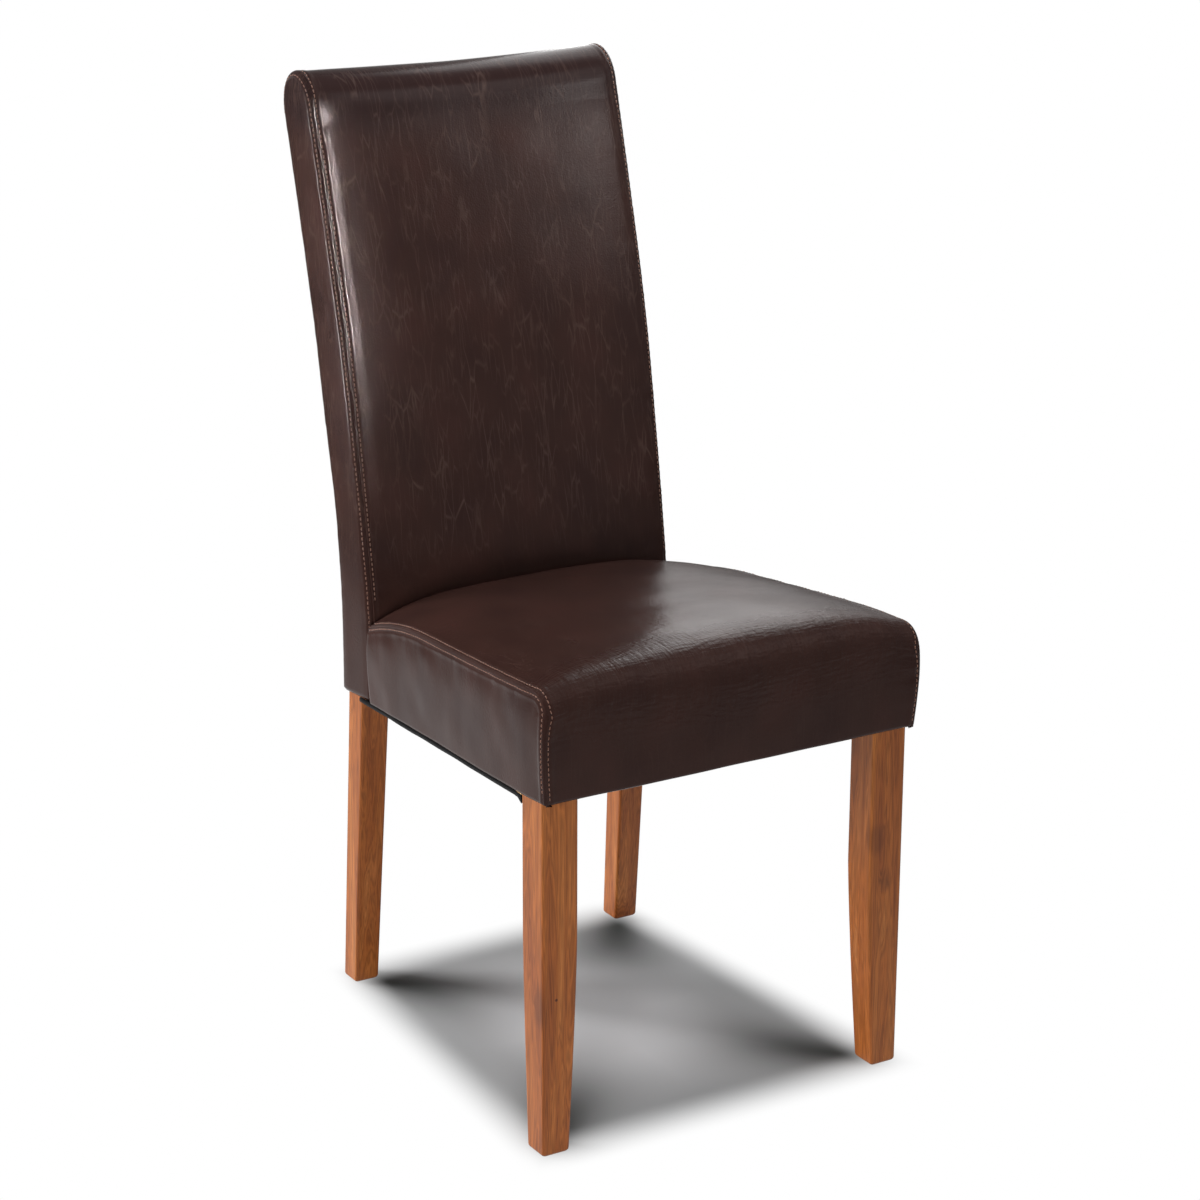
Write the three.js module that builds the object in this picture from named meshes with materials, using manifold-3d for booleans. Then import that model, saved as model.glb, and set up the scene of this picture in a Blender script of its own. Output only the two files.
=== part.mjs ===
// A high-backed parsons dining chair: a stained hardwood frame, webbing, foam and a leather cover
// sewn from panels. Millimetres, +Z up, +Y towards the back. The pieces are drawn from the front
// legs' front face, and the finished chair is moved so that the origin lies on the floor under it.
import * as THREE from "three";
import { mergeVertices } from "three/addons/utils/BufferGeometryUtils.js";
import Module from "manifold-3d";

const wasm = await Module();
wasm.setup();

// Fits
const gap = 0.3; // clearance between two pieces that touch
const overrun = 60; // how far a cutting solid runs past what it cuts
const weld = 0.001; // vertices closer than this are one

// Plan of the chair
const legSpread = 219.8; // middle of the chair to a front leg's outer face
const postInset = 33.8; // a front leg's outer face to a rear post's
const seatDepth = 414; // front legs' front face to the front seam of the back
const postSpread = legSpread - postInset;

// Front legs
const legWidth = 41.2;
const legFootWidth = 31.3;
const legTaperHeight = 230; // the taper on the two inner faces starts here
const legTaperPower = 1.25;
const footEase = 1.8; // rounding under each foot
const arris = 1.1; // eased long edges of legs and posts

// Rear posts
const postWidth = 34.2;
const postFootWidth = 29.4;
const postFootSplay = 1; // the foot stands this far outside the post
const postDepth = 33.6;
const postFootDepth = 28.4;
const postTopDepth = 27;
const postStep = 40; // height between two sections of a post
const postTopCover = 29; // foam and cover above a post

// Side view of the chair
const chairHeight = 1020;
const hemHeight = 385; // lower edge of the cover at the front legs' front face
const seatJunctionRise = 71; // hem height to where the seat meets the back at the seam
const seatJunctionHeight = hemHeight + seatJunctionRise;
const backThickness = 71;
const waistThinning = 5; // the back is this much thinner in its waist
const waistRise = 99; // junction to the waist
const waistSpan = 75;
const rearPadding = 11; // wadding and cover behind the posts
const junctionBlend = 20;
const shoulderRise = 276; // the back leans further from this far above the junction
const shoulderBlend = 80;
const lowerRakeShare = 0.16; // set-back for each unit of height
const upperRakeShare = 0.12; // added to it above the shoulder
const rollHeight = 42; // half the height of the rolled top
const rollSag = 4; // the roll is this much lower in its middle
const splayBlend = 40;
const splayShare = 0.07; // the rear legs splay back below the hem

// Cover of the back
const leather = 1.2;
const sideWrap = 2.6; // wadding and cover outside a post
const edgeCrown = 8; // rounding of the front panel beside its seams
const edgeCrownWidth = 32;
const middleCrown = 4;
const rearCorner = 5;
const rearSeamDrop = 28; // the rear panel starts this far below the roll
const tuckDepth = 30; // the front panel runs this far below the seat junction

// Seat frame
const seatSlopeShare = 0.07; // fall of the seat frame for each unit of depth
const hemRise = 1.2; // the rails end this far below the hem
const railHeight = 58;
const railThickness = 22;
const rearRailInset = 4; // rear rail's rear face to the posts' rear face
const tenonDepth = 12;
const tenonThickness = 9;
const tenonShoulder = 6;

// Back rails
const backRailInset = 3;
const topRailHeight = 55;
const middleRailHeight = 45;
const lowerRailHeight = 45;
const middleRailShare = 0.593; // of the height between the lower and the top rail's lower edges
const lowerRailRise = 16; // junction to the lower rail's lower edge

// Corner blocks and their fasteners
const blockThickness = 22;
const blockHeight = 44;
const blockRise = 7; // rails' lower edge to the block's lower face
const boltRadius = 4;
const boltInLeg = 30;
const boltEnd = 5; // bolt past its nut
const washerRadius = 9;
const washerThickness = 1.6;
const nutRadius = 7.5; // over the corners
const nutSides = 6;
const nutThickness = 6.5;
const boltHeightShares = [0.27, 0.73];
const screwRadius = 2;
const screwLength = 26;
const screwHeadRadius = 4;
const screwHeadThickness = 2.5;
const screwTip = 4;

// Webbing
const webWidth = 50;
const webThickness = 1.5;
const webEndInset = 4;
const webWaveBlend = 6; // a crossing strap turns this far beside the one it crosses
const lengthwaysShares = [-0.5, 0, 0.5]; // of the half-width inside the side rails
const crosswaysShares = [0.27, 0.53, 0.79]; // of the seat's depth
const lowerWebShares = [0.28, 0.72]; // of the height between the lower and the middle rail
const upperWebShare = 0.45; // of the height between the middle and the top rail

// Seat cushion
const frontPadding = 14; // foam and cover in front of the legs
const sidePadding = 5.6; // foam and cover outside the front legs
const rearSidePadding = 11; // foam and cover outside the rear posts' faces
const seatEdgeRise = 116; // hem height to the side seams at the front
const seatCrown = 20;
const rearCrown = 9; // added to the crown at the back
const rearSink = 22; // the side seams sink this far more at the back
const rearSinkStart = 270;
const topSlopeShare = 0.085;
const crownPower = 3.9;
const edgeFrontRadius = 20; // rounding of the front edge at the seams
const middleFrontRadius = 36; // and in the middle
const cornerRadius = 4;
const turnInRadius = 8;
const taperBlend = 40;
const seamInset = 1.5;
const seamSlant = 3;
const seamRoundPower = 6;
const sideBulge = 2.2;
const sideBulgePower = 0.6;
const hemSlack = 0.4;
const frontTuck = 3; // the front panel draws in this far at the hem
const frontTuckDepth = 60;
const sideWrapStart = 20; // the foam at the sides ends this far above the hem

// Dust cover
const dustCoverThickness = 1.8;
const dustCoverInset = 4; // from the rails' faces at the front and the rear
const dustCoverOverhang = 1; // past the side rails, as far as the cover's hem

// Finishes
function finish(color, roughness, metalness = 0) {
  return new THREE.MeshStandardMaterial({ color, roughness, metalness });
}
const stainedWood = finish(0x9a5a2e, 0.45);
const rawWood = finish(0xc9a878, 0.75);
const brownLeather = finish(0x3a2620, 0.38);
const foamFill = finish(0xe6ddb8, 0.95);
const wadding = finish(0xeeeeea, 1);
const webbing = finish(0x7d6a4f, 0.9);
const blackCloth = finish(0x161616, 0.95);
const zincSteel = finish(0xb4b6b8, 0.4, 0.9);

// Small sums
const clamp = THREE.MathUtils.clamp;
const lerp = THREE.MathUtils.lerp;
const point = (x, y, z) => new THREE.Vector3(x, y, z);

// Rises from nothing to a slope of one around t = 0, over about the blend's length.
const softRamp = (t, blend) => 0.5 * (t + Math.sqrt(t * t + blend * blend));

// Fall of a quarter round of this radius at distance t from its vertical tangent.
function roundFall(t, radius) {
  const rest = 1 - clamp(t / radius, 0, 1);
  return radius * (1 - Math.sqrt(1 - rest * rest));
}

// Value at t in a list of [t, value] pairs, straight between them.
function between(pairs, t) {
  const next = clamp(pairs.findIndex((pair) => pair[0] >= t), 1, pairs.length - 1);
  const [low, high] = [pairs[next - 1], pairs[t > pairs.at(-1)[0] ? pairs.length - 1 : next]];
  const share = high[0] > low[0] ? clamp((t - low[0]) / (high[0] - low[0]), 0, 1) : 1;
  return lerp(low[1], high[1], share);
}

// Turns every face of a closed geometry outwards.
function facingOut(geometry) {
  const corners = geometry.attributes.position;
  const order = geometry.index.array;
  const [a, b, c] = [point(0, 0, 0), point(0, 0, 0), point(0, 0, 0)];
  let volume = 0;
  for (let i = 0; i < order.length; i += 3) {
    a.fromBufferAttribute(corners, order[i]);
    b.fromBufferAttribute(corners, order[i + 1]);
    c.fromBufferAttribute(corners, order[i + 2]);
    volume += a.dot(b.cross(c));
  }
  if (volume < 0) {
    for (let i = 0; i < order.length; i += 3) {
      [order[i + 1], order[i + 2]] = [order[i + 2], order[i + 1]];
    }
  }
  return geometry;
}

// A geometry with its shared vertices merged and its faces outwards.
function tidy(geometry) {
  const bare = geometry.index ? geometry.toNonIndexed() : geometry.clone();
  bare.deleteAttribute("normal");
  bare.deleteAttribute("uv");
  return facingOut(mergeVertices(bare, weld));
}

// A closed geometry as a solid that can be joined and cut.
function solid(geometry) {
  const closed = tidy(geometry);
  const vertProperties = closed.attributes.position.array;
  const triVerts = new Uint32Array(closed.index.array);
  return new wasm.Manifold(new wasm.Mesh({ numProp: 3, vertProperties, triVerts }));
}

// A solid as a geometry.
function geometryOf(body) {
  const mesh = body.getMesh();
  const geometry = new THREE.BufferGeometry();
  geometry.setAttribute("position", new THREE.BufferAttribute(mesh.vertProperties, mesh.numProp));
  geometry.setIndex(new THREE.BufferAttribute(mesh.triVerts, 1));
  return geometry;
}

// A closed skin through rings of equal length, each end closed by a fan around its middle.
function loft(rings) {
  const size = rings[0].length;
  const middles = [rings[0], rings.at(-1)].map((ring) =>
    ring.reduce((sum, corner) => sum.add(corner), point(0, 0, 0)).divideScalar(size),
  );
  const positions = [...rings.flat(), ...middles].flatMap((corner) => corner.toArray());
  const order = [];
  for (let i = 0; i < size; i++) {
    const j = (i + 1) % size;
    for (let ring = 0; ring + 1 < rings.length; ring++) {
      const [here, above] = [ring * size, (ring + 1) * size];
      order.push(here + i, here + j, above + j, here + i, above + j, above + i);
    }
    const last = (rings.length - 1) * size;
    order.push(rings.length * size, j, i);
    order.push(rings.length * size + 1, last + i, last + j);
  }
  const geometry = new THREE.BufferGeometry();
  geometry.setAttribute("position", new THREE.Float32BufferAttribute(positions, 3));
  geometry.setIndex(order);
  return geometry;
}

// The mirror image of a geometry on the chair's other side.
const mirrored = (geometry) => tidy(geometry).scale(-1, 1, 1);

// A prism over an outline of [y, z] pairs, from x = from to x = to.
function sidePrism(outline, from, to) {
  return loft([from, to].map((x) => outline.map(([y, z]) => point(x, y, z))));
}

// A prism over a plan of [x, y] pairs, in the seat frame's own heights, which fall towards the back.
function seatPrism(plan, from, to) {
  return loft([from, to].map((z) => plan.map(([x, y]) => point(x, y, railBottom(y) + z))));
}

// A level box between two corners of the seat frame's plan.
function seatBox(x0, x1, y0, y1, from, to) {
  return seatPrism([[x0, y0], [x1, y0], [x1, y1], [x0, y1]], from, to);
}

// Heights and depths of the chair's side view
const hem = (y) => hemHeight - seatSlopeShare * y;
const railBottom = (y) => hem(y) - hemRise;
const railTop = (y) => railBottom(y) + railHeight;
const postTop = chairHeight - postTopCover;
const lowerRailZ = seatJunctionHeight + lowerRailRise;
const middleRailZ = lerp(lowerRailZ, postTop - topRailHeight, middleRailShare);

// The front seam of the back at height z.
function backSeam(z) {
  const lower = lowerRakeShare * softRamp(z - seatJunctionHeight, junctionBlend);
  const upper = upperRakeShare * softRamp(z - seatJunctionHeight - shoulderRise, shoulderBlend);
  return seatDepth + lower + upper;
}

// The rear face of the back at height z.
function backRear(z) {
  const waist = (z - seatJunctionHeight - waistRise) / waistSpan;
  return backSeam(z) + backThickness - waistThinning * Math.exp(-waist * waist);
}

// A post's sections, and its rear and front faces at height z, straight between them.
const sectionCount = Math.round((postTop - footEase) / postStep);
const postSections = Array.from({ length: sectionCount + 1 }, (_, i) =>
  lerp(footEase, postTop, i / sectionCount),
);
const postDepths = [
  [0, postFootDepth],
  [hemHeight, postDepth],
  [seatJunctionHeight, postDepth],
  [postTop, postTopDepth],
];
const rearFace = postSections.map((z) => {
  const splay = splayShare * softRamp(hemHeight - z, splayBlend);
  return [z, backRear(z) - rearPadding + splay];
});
const frontFace = rearFace.map(([z, y]) => [z, y - between(postDepths, z)]);
const postRear = (z) => between(rearFace, z);
const postFront = (z) => between(frontFace, z);
const postInner = postSpread - postWidth;

// The heights at which a piece that follows the posts bends with them.
function leanHeights(low, high) {
  return [low, ...postSections.filter((z) => z > low + gap && z < high - gap), high];
}

// An upright's section: a rectangle with eased corners.
function easedSection(x0, x1, y0, y1, z, ease) {
  return [
    point(x0 + ease, y0, z), point(x1 - ease, y0, z),
    point(x1, y0 + ease, z), point(x1, y1 - ease, z),
    point(x1 - ease, y1, z), point(x0 + ease, y1, z),
    point(x0, y1 - ease, z), point(x0, y0 + ease, z),
  ];
}

// The left front leg: square, with its two inner faces tapering to the foot.
function frontLegGeometry() {
  const top = railTop(legWidth);
  const widthAt = (z) => {
    const rest = 1 - clamp(z / legTaperHeight, 0, 1);
    return legWidth - (legWidth - legFootWidth) * Math.pow(rest, legTaperPower);
  };
  const section = (z, inset) => {
    const far = widthAt(z) - inset;
    return easedSection(-legSpread + inset, -legSpread + far, inset, far, z, arris);
  };
  const taperShares = [0.15, 0.3, 0.45, 0.6, 0.75, 0.88, 1];
  const heights = [...taperShares.map((share) => share * legTaperHeight), top];
  return loft([section(0, footEase), section(footEase, 0), ...heights.map((z) => section(z, 0))]);
}

// The left rear post, grown on all sides by an amount: it splays back at the foot and leans back
// at the top.
function postGeometry(grow) {
  const section = (z, inset) => {
    const rise = clamp(z / hemHeight, 0, 1);
    const outer = postSpread + lerp(postFootSplay, 0, rise);
    const inner = outer - lerp(postFootWidth, postWidth, rise);
    const [front, rear] = [postFront(z) + inset, postRear(z) - inset];
    return easedSection(-outer + inset, -inner - inset, front, rear, z, arris);
  };
  const upper = postSections.map((z) => section(z === postTop ? z + grow : z, -grow));
  return loft([section(-grow, footEase - grow), ...upper]);
}

// The left side rail's outer face runs from the front leg to the post, in this direction.
const railRun = new THREE.Vector2(legSpread - postSpread, seatDepth - legWidth).normalize();
const railOuter = (y) => -legSpread + ((y - legWidth) * railRun.x) / railRun.y;
const railInner = (y) => railOuter(y) + railThickness / railRun.y;

// The left side rail, with a tenon into the post above the rear rail's.
function sideRailTenon(grow) {
  const root = seatDepth;
  const tip = postFront(hemHeight) + tenonDepth + grow;
  const outer = postFront(hemHeight);
  const middle = (railOuter(outer) + railInner(outer)) / 2;
  const half = tenonThickness / 2 + grow;
  const [low, high] = [railHeight / 2 + gap, railHeight - tenonShoulder];
  return seatBox(middle - half, middle + half, root, tip, low - grow, high + grow);
}
function sideRailBody() {
  const start = legWidth + gap;
  const end = seatDepth + backThickness / 2;
  const plan = [
    [railOuter(start), start], [railInner(start), start],
    [railInner(end), end], [railOuter(end), end],
  ];
  const rail = solid(seatPrism(plan, 0, railHeight)).subtract(solid(postGeometry(gap)));
  return rail.add(solid(sideRailTenon(0)));
}

// The rear rail and its two tenons.
const rearRailBack = postRear(hemHeight) - rearRailInset;
function rearRailTenons(grow) {
  const middle = rearRailBack - railThickness / 2;
  const reach = postInner + tenonDepth + grow;
  const half = tenonThickness / 2 + grow;
  const top = railHeight / 2 - gap;
  return seatBox(-reach, reach, middle - half, middle + half, tenonShoulder - grow, top + grow);
}
function rearRailBody() {
  const half = postInner - gap;
  const body = seatBox(-half, half, rearRailBack - railThickness, rearRailBack, 0, railHeight);
  return solid(body).add(solid(rearRailTenons(0)));
}

// A back rail between two heights, following the posts' lean, and its tenons.
function leaningOutline(low, high) {
  const heights = leanHeights(low, high);
  const front = heights.map((z) => [postFront(z) + backRailInset, z]);
  const rear = heights.map((z) => [postRear(z) - backRailInset, z]).reverse();
  return [...front, ...rear];
}
function backRailTenons(low, high, grow) {
  const middle = (z) => (postFront(z) + postRear(z)) / 2;
  const half = tenonThickness / 2 + grow;
  const [from, to] = [low + tenonShoulder - grow, high - tenonShoulder + grow];
  const outline = [
    [middle(from) - half, from], [middle(to) - half, to],
    [middle(to) + half, to], [middle(from) + half, from],
  ];
  const reach = postInner + tenonDepth + grow;
  return solid(sidePrism(outline, -reach, reach));
}
function backRailBody(low, high) {
  const half = postInner - gap;
  const body = sidePrism(leaningOutline(low, high), -half, half);
  return solid(body).add(backRailTenons(low, high, 0));
}
const backRails = {
  back_top_rail: [postTop - topRailHeight, postTop],
  back_middle_rail: [middleRailZ, middleRailZ + middleRailHeight],
  back_lower_rail: [lowerRailZ, lowerRailZ + lowerRailHeight],
};

// A corner block's plan: a bar square to the diagonal at a leg's inner edge, cut to the two rails.
// forward is 1 where the block lies behind the leg and -1 where it lies in front of the post.
function blockPlan(edge, forward, railFace) {
  const along = (distance) => {
    const offset = distance * Math.SQRT2;
    const nearRail = [edge[0] + offset - forward * (railFace - edge[1]), railFace];
    const start = edge[1] + forward * offset;
    const faceStart = railInner(start) + gap;
    const slope = railRun.x / railRun.y;
    const y = start + (forward * (edge[0] - faceStart)) / (1 + forward * slope);
    return [nearRail, [railInner(y) + gap, y]];
  };
  const [nearA, nearB] = along(gap);
  const [farA, farB] = along(gap + blockThickness);
  return [nearA, farA, farB, nearB];
}
const frontEdge = [-legSpread + legWidth, legWidth];
const frontBlockPlan = blockPlan(frontEdge, 1, railThickness + gap);
const rearEdge = [-postInner, postFront(hemHeight) - gap];
const rearBlockPlan = blockPlan(rearEdge, -1, rearRailBack - railThickness - gap);

// A fastener's place: its own +Z laid along a level direction from a point.
function placed(origin, direction) {
  const turn = new THREE.Quaternion().setFromUnitVectors(point(0, 0, 1), direction);
  return new THREE.Matrix4().compose(origin, turn, point(1, 1, 1));
}

// A turned piece around +Z, through [radius, height] pairs.
function turned(pairs, sides) {
  const profile = pairs.map(([radius, height]) => new THREE.Vector2(radius, height));
  return new THREE.LatheGeometry(profile, sides).rotateX(Math.PI / 2);
}
function rod(radius, from, to, sides) {
  return turned([[0, from], [radius, from], [radius, to], [0, to]], sides);
}
const boltSides = 12;
const screwSides = 8;

// The places of the two bolts that hold the left front leg: each starts in the leg, on its diagonal.
const inward = point(1, 1, 0).normalize();
const boltPlaces = boltHeightShares.map((share) => {
  const height = railBottom(legWidth) + blockRise + share * blockHeight;
  const start = point(frontEdge[0], frontEdge[1], height).addScaledVector(inward, -boltInLeg);
  return placed(start, inward);
});
const blockFar = boltInLeg + gap + blockThickness;
const boltLength = blockFar + washerThickness + nutThickness + 3 * gap + boltEnd;
const boltGeometry = rod(boltRadius, 0, boltLength, boltSides);
const boltHole = rod(boltRadius + gap, -gap, boltLength + overrun, boltSides);

// A flat ring with a round hole for the bolt, its outer edge with this many sides.
function ring(radius, from, thickness, sides) {
  const hole = boltRadius + gap;
  const plate = solid(rod(radius, from, from + thickness, sides));
  return geometryOf(plate.subtract(solid(rod(hole, from - gap, from + thickness + gap, boltSides))));
}
const washerGeometry = ring(washerRadius, blockFar + gap, washerThickness, 2 * boltSides);
const nutGeometry = ring(nutRadius, blockFar + washerThickness + 2 * gap, nutThickness, nutSides);

// A pan-head screw, its head's top at zero, and the hole that clears it.
const screwGeometry = turned(
  [[0, 0], [screwHeadRadius, 0], [screwHeadRadius, screwHeadThickness],
    [screwRadius, screwHeadThickness], [screwRadius, screwLength - screwTip], [0, screwLength]],
  screwSides,
);
const screwHole = turned(
  [[0, -overrun], [screwHeadRadius + gap, -overrun],
    [screwHeadRadius + gap, screwHeadThickness + gap], [screwRadius + gap, screwHeadThickness + gap],
    [screwRadius + gap, screwLength + gap], [0, screwLength + gap]],
  screwSides,
);

// The places of a block's two screws: one square to the cross rail and one square to the side rail.
function screwPlaces(plan, forward) {
  const height = (y) => railBottom(y) + blockRise + blockHeight / 2;
  const [nearA, farA, farB, nearB] = plan;
  const depth = screwLength - railThickness / 2;
  const crossX = (nearA[0] + farA[0]) / 2;
  const cross = point(crossX, nearA[1] + forward * depth, height(nearA[1]));
  const sideY = (nearB[1] + farB[1]) / 2;
  const normal = point(railRun.y, -railRun.x, 0);
  const side = point(railInner(sideY), sideY, height(sideY)).addScaledVector(normal, depth);
  return [placed(cross, point(0, -forward, 0)), placed(side, normal.negate())];
}
const frontScrewPlaces = screwPlaces(frontBlockPlan, 1);
const rearScrewPlaces = screwPlaces(rearBlockPlan, -1);

// Cuts a hole at each place.
function drilled(body, hole, places) {
  return places.reduce((rest, place) => rest.subtract(solid(hole.clone().applyMatrix4(place))), body);
}
const blockBody = (plan) => solid(seatPrism(plan, blockRise, blockRise + blockHeight));

// Webbing laid on top of the rails
const webLevel = railHeight + gap;
const webWave = webThickness + 2 * gap;
const webHalfSpan = -railInner(seatDepth / 2);
const webColumns = lengthwaysShares.map((share) => share * webHalfSpan);

function lengthwaysStrap(x) {
  const [front, back] = [webEndInset, rearRailBack - webEndInset];
  return seatBox(x - webWidth / 2, x + webWidth / 2, front, back, webLevel, webLevel + webThickness);
}

// A crossing strap goes over one lengthways strap and under the next, starting with the given side.
function crosswaysStrap(y, side) {
  const end = -railOuter(y + webWidth / 2) - webEndInset;
  const centre = [[-end, 0]];
  webColumns.forEach((x, i) => {
    const lift = side * webWave * (i % 2 ? -1 : 1);
    const flat = webWidth / 2 + webWaveBlend / 2;
    const ends = i === 0 ? [[x - flat - webWaveBlend, 0]] : [];
    centre.push(...ends, [x - flat, lift], [x + flat, lift]);
    if (i === webColumns.length - 1) centre.push([x + flat + webWaveBlend, 0]);
  });
  centre.push([end, 0]);
  const lower = centre.map(([x, z]) => [x, webLevel + z]);
  const upper = centre.map(([x, z]) => [x, webLevel + webThickness + z]).reverse();
  const ends = [y - webWidth / 2, y + webWidth / 2];
  return solid(stripGeometry([...lower, ...upper], ends));
}

// A strip over an outline of [x, height above the rails' lower edge] pairs, between two depths.
function stripGeometry(outline, [from, to]) {
  const flat = new THREE.Shape(outline.map(([x, z]) => new THREE.Vector2(x, z)));
  const strip = new THREE.ExtrudeGeometry(flat, { depth: to - from, bevelEnabled: false });
  strip.rotateX(Math.PI / 2).translate(0, to, 0);
  const corners = strip.attributes.position;
  for (let i = 0; i < corners.count; i++) {
    corners.setZ(i, corners.getZ(i) + railBottom(corners.getY(i)));
  }
  return strip;
}

// A strap across the front of the posts, centred at a height.
function backStrap(height) {
  const heights = leanHeights(height - webWidth / 2, height + webWidth / 2);
  const rear = heights.map((z) => [postFront(z) - gap, z]);
  const front = heights.map((z) => [postFront(z) - gap - webThickness, z]).reverse();
  return sidePrism([...rear, ...front], -postSpread + webEndInset, postSpread - webEndInset);
}

// The back's outline at height z, drawn in by an inset: [front, rear].
const lean = Math.atan(lowerRakeShare + upperRakeShare);
const [leanSine, leanCosine] = [Math.sin(lean), Math.cos(lean)];
const rollHalf = (backThickness * leanCosine) / 2;
const rollCentre = chairHeight - Math.hypot(rollHalf * leanSine, rollHeight * leanCosine);
function backSpan(z, inset) {
  const [a, b] = [rollHalf - inset, rollHeight - inset];
  const rise = z - rollCentre;
  const across = (leanCosine / a) ** 2 + (leanSine / b) ** 2;
  const mixed = 2 * rise * leanSine * leanCosine * (1 / b ** 2 - 1 / a ** 2);
  const rest = rise ** 2 * ((leanSine / a) ** 2 + (leanCosine / b) ** 2) - 1;
  const root = Math.sqrt(Math.max(mixed ** 2 - 4 * across * rest, 0));
  const middle = backSeam(rollCentre) + backThickness / 2;
  const straight = [backSeam(z) + inset / leanCosine, backRear(z) - inset / leanCosine];
  const rolled = [-1, 1].map((side) => middle + (side * root - mixed) / (2 * across));
  const front = rise > a * leanSine ? rolled[0] : straight[0];
  const rear = rise > -a * leanSine ? rolled[1] : straight[1];
  return [front, rear];
}
const rollTop = (inset) =>
  rollCentre + Math.hypot((rollHalf - inset) * leanSine, (rollHeight - inset) * leanCosine);
const rollStart = rollCentre - rollHalf * leanSine;
const backFoot = railBottom(seatDepth + backThickness) - overrun;

// How far the front panel stands forward of its seams at this distance from the middle.
const backHalf = postSpread + sideWrap;
function backCrown(x) {
  const edge = Math.abs(backHalf) - Math.abs(x);
  return edgeCrown - roundFall(edge, edgeCrownWidth) * (edgeCrown / edgeCrownWidth)
    + middleCrown * (1 - (x / backHalf) ** 2);
}

// One level ring of the back: the crowned front from left to right, then the flat rear.
const crossShares = [-1, -0.985, -0.95, -0.89, -0.75, -0.4, 0, 0.4, 0.75, 0.89, 0.95, 0.985, 1];
function backRing(z, inset) {
  const half = backHalf - inset;
  const [front, rear] = backSpan(z, inset);
  const fade = clamp((rear - front) / (backThickness - waistThinning - 2 * inset), 0, 1);
  const rise = clamp((z - rollStart) / (chairHeight - rollStart), 0, 1);
  const at = (x, y) => point(x, y, z - rollSag * rise * (1 - (x / backHalf) ** 2));
  const face = (share) => front - fade * backCrown(share * backHalf);
  const crowned = crossShares.map((share) => at(share * half, face(share)));
  const corner = rearCorner * fade;
  const flat = [[half, rear - corner], [half - corner, rear]];
  const left = crossShares.map((share) => at(-share * (half - corner), rear)).slice(1, -1);
  return [...crowned, ...flat.map(([x, y]) => at(x, y)), ...left,
    ...flat.map(([x, y]) => at(-x, y)).reverse()];
}
function backBody(inset) {
  const top = rollTop(inset);
  const straightShares = [0, 0.2, 0.26, 0.32, 0.4, 0.48, 0.56, 0.64, 0.72, 0.8, 0.9, 1];
  const rollShares = [0.3, 0.5, 0.68, 0.82, 0.92, 0.98, 0.999];
  const heights = [
    ...straightShares.map((share) => lerp(backFoot, rollStart, share)),
    ...rollShares.map((share) => lerp(rollStart, top, share)),
  ];
  return solid(loft(heights.map((z) => backRing(z, inset))));
}

// A space behind a leaning face, from one height to another, wide and deep enough to cut with.
const farRear = backRear(chairHeight) + overrun;
function spaceBehind(face, low, high, halfWidth) {
  const front = leanHeights(low, high).map((z) => [face(z), z]);
  return solid(sidePrism([...front, [farRear, high], [farRear, low]], -halfWidth, halfWidth));
}

// Everything from x = from to x = to, between two heights.
function slab(from, to, low, high) {
  const outline = [[-overrun, low], [farRear, low], [farRear, high], [-overrun, high]];
  return solid(sidePrism(outline, from, to));
}

// Everything under a height above the hem's sloping plane.
function underHem(rise, front) {
  const wide = legSpread + overrun;
  return solid(seatBox(-wide, wide, front, farRear, -overrun - railHeight, hemRise + rise));
}

// Half-width of the seat's side at depth y, and the heights of its side seams and of its crown.
const cushionFront = -frontPadding;
const cushionRear = seatDepth - gap;
const sideFront = legSpread + sidePadding;
const sideTaper = (sideFront - postSpread - rearSidePadding) / (seatDepth - legWidth);
const hemInset = sidePadding - leather - gap - (sideTaper * taperBlend) / 2 - hemSlack;
const sideAt = (y) => sideFront - sideTaper * softRamp(y - legWidth, taperBlend);
const sinkAt = (y) => clamp((y - rearSinkStart) / (seatDepth - rearSinkStart), 0, 1) ** 2;
const seamHeight = (y) => hemHeight + seatEdgeRise - topSlopeShare * y - rearSink * sinkAt(y);
const crownAt = (y) => seatCrown + rearCrown * sinkAt(y);

// Half-width at the side seam, with the rounded front corner and the turned-in rear edge.
function seamHalf(y, inset) {
  const front = roundFall(y - cushionFront - inset, cornerRadius);
  const rear = roundFall(cushionRear - inset - y, turnInRadius);
  return sideAt(y) - seamInset - inset - front - rear;
}

// Height of the cushion's top at a share of its half-width and depth y, falling over the front edge.
function cushionTop(share, y, inset) {
  const radius = lerp(edgeFrontRadius, middleFrontRadius, 1 - share * share) - inset;
  const crown = crownAt(y) * (1 - Math.abs(share) ** crownPower);
  return seamHeight(y) + crown - inset - roundFall(y - cushionFront - inset, radius);
}

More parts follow.
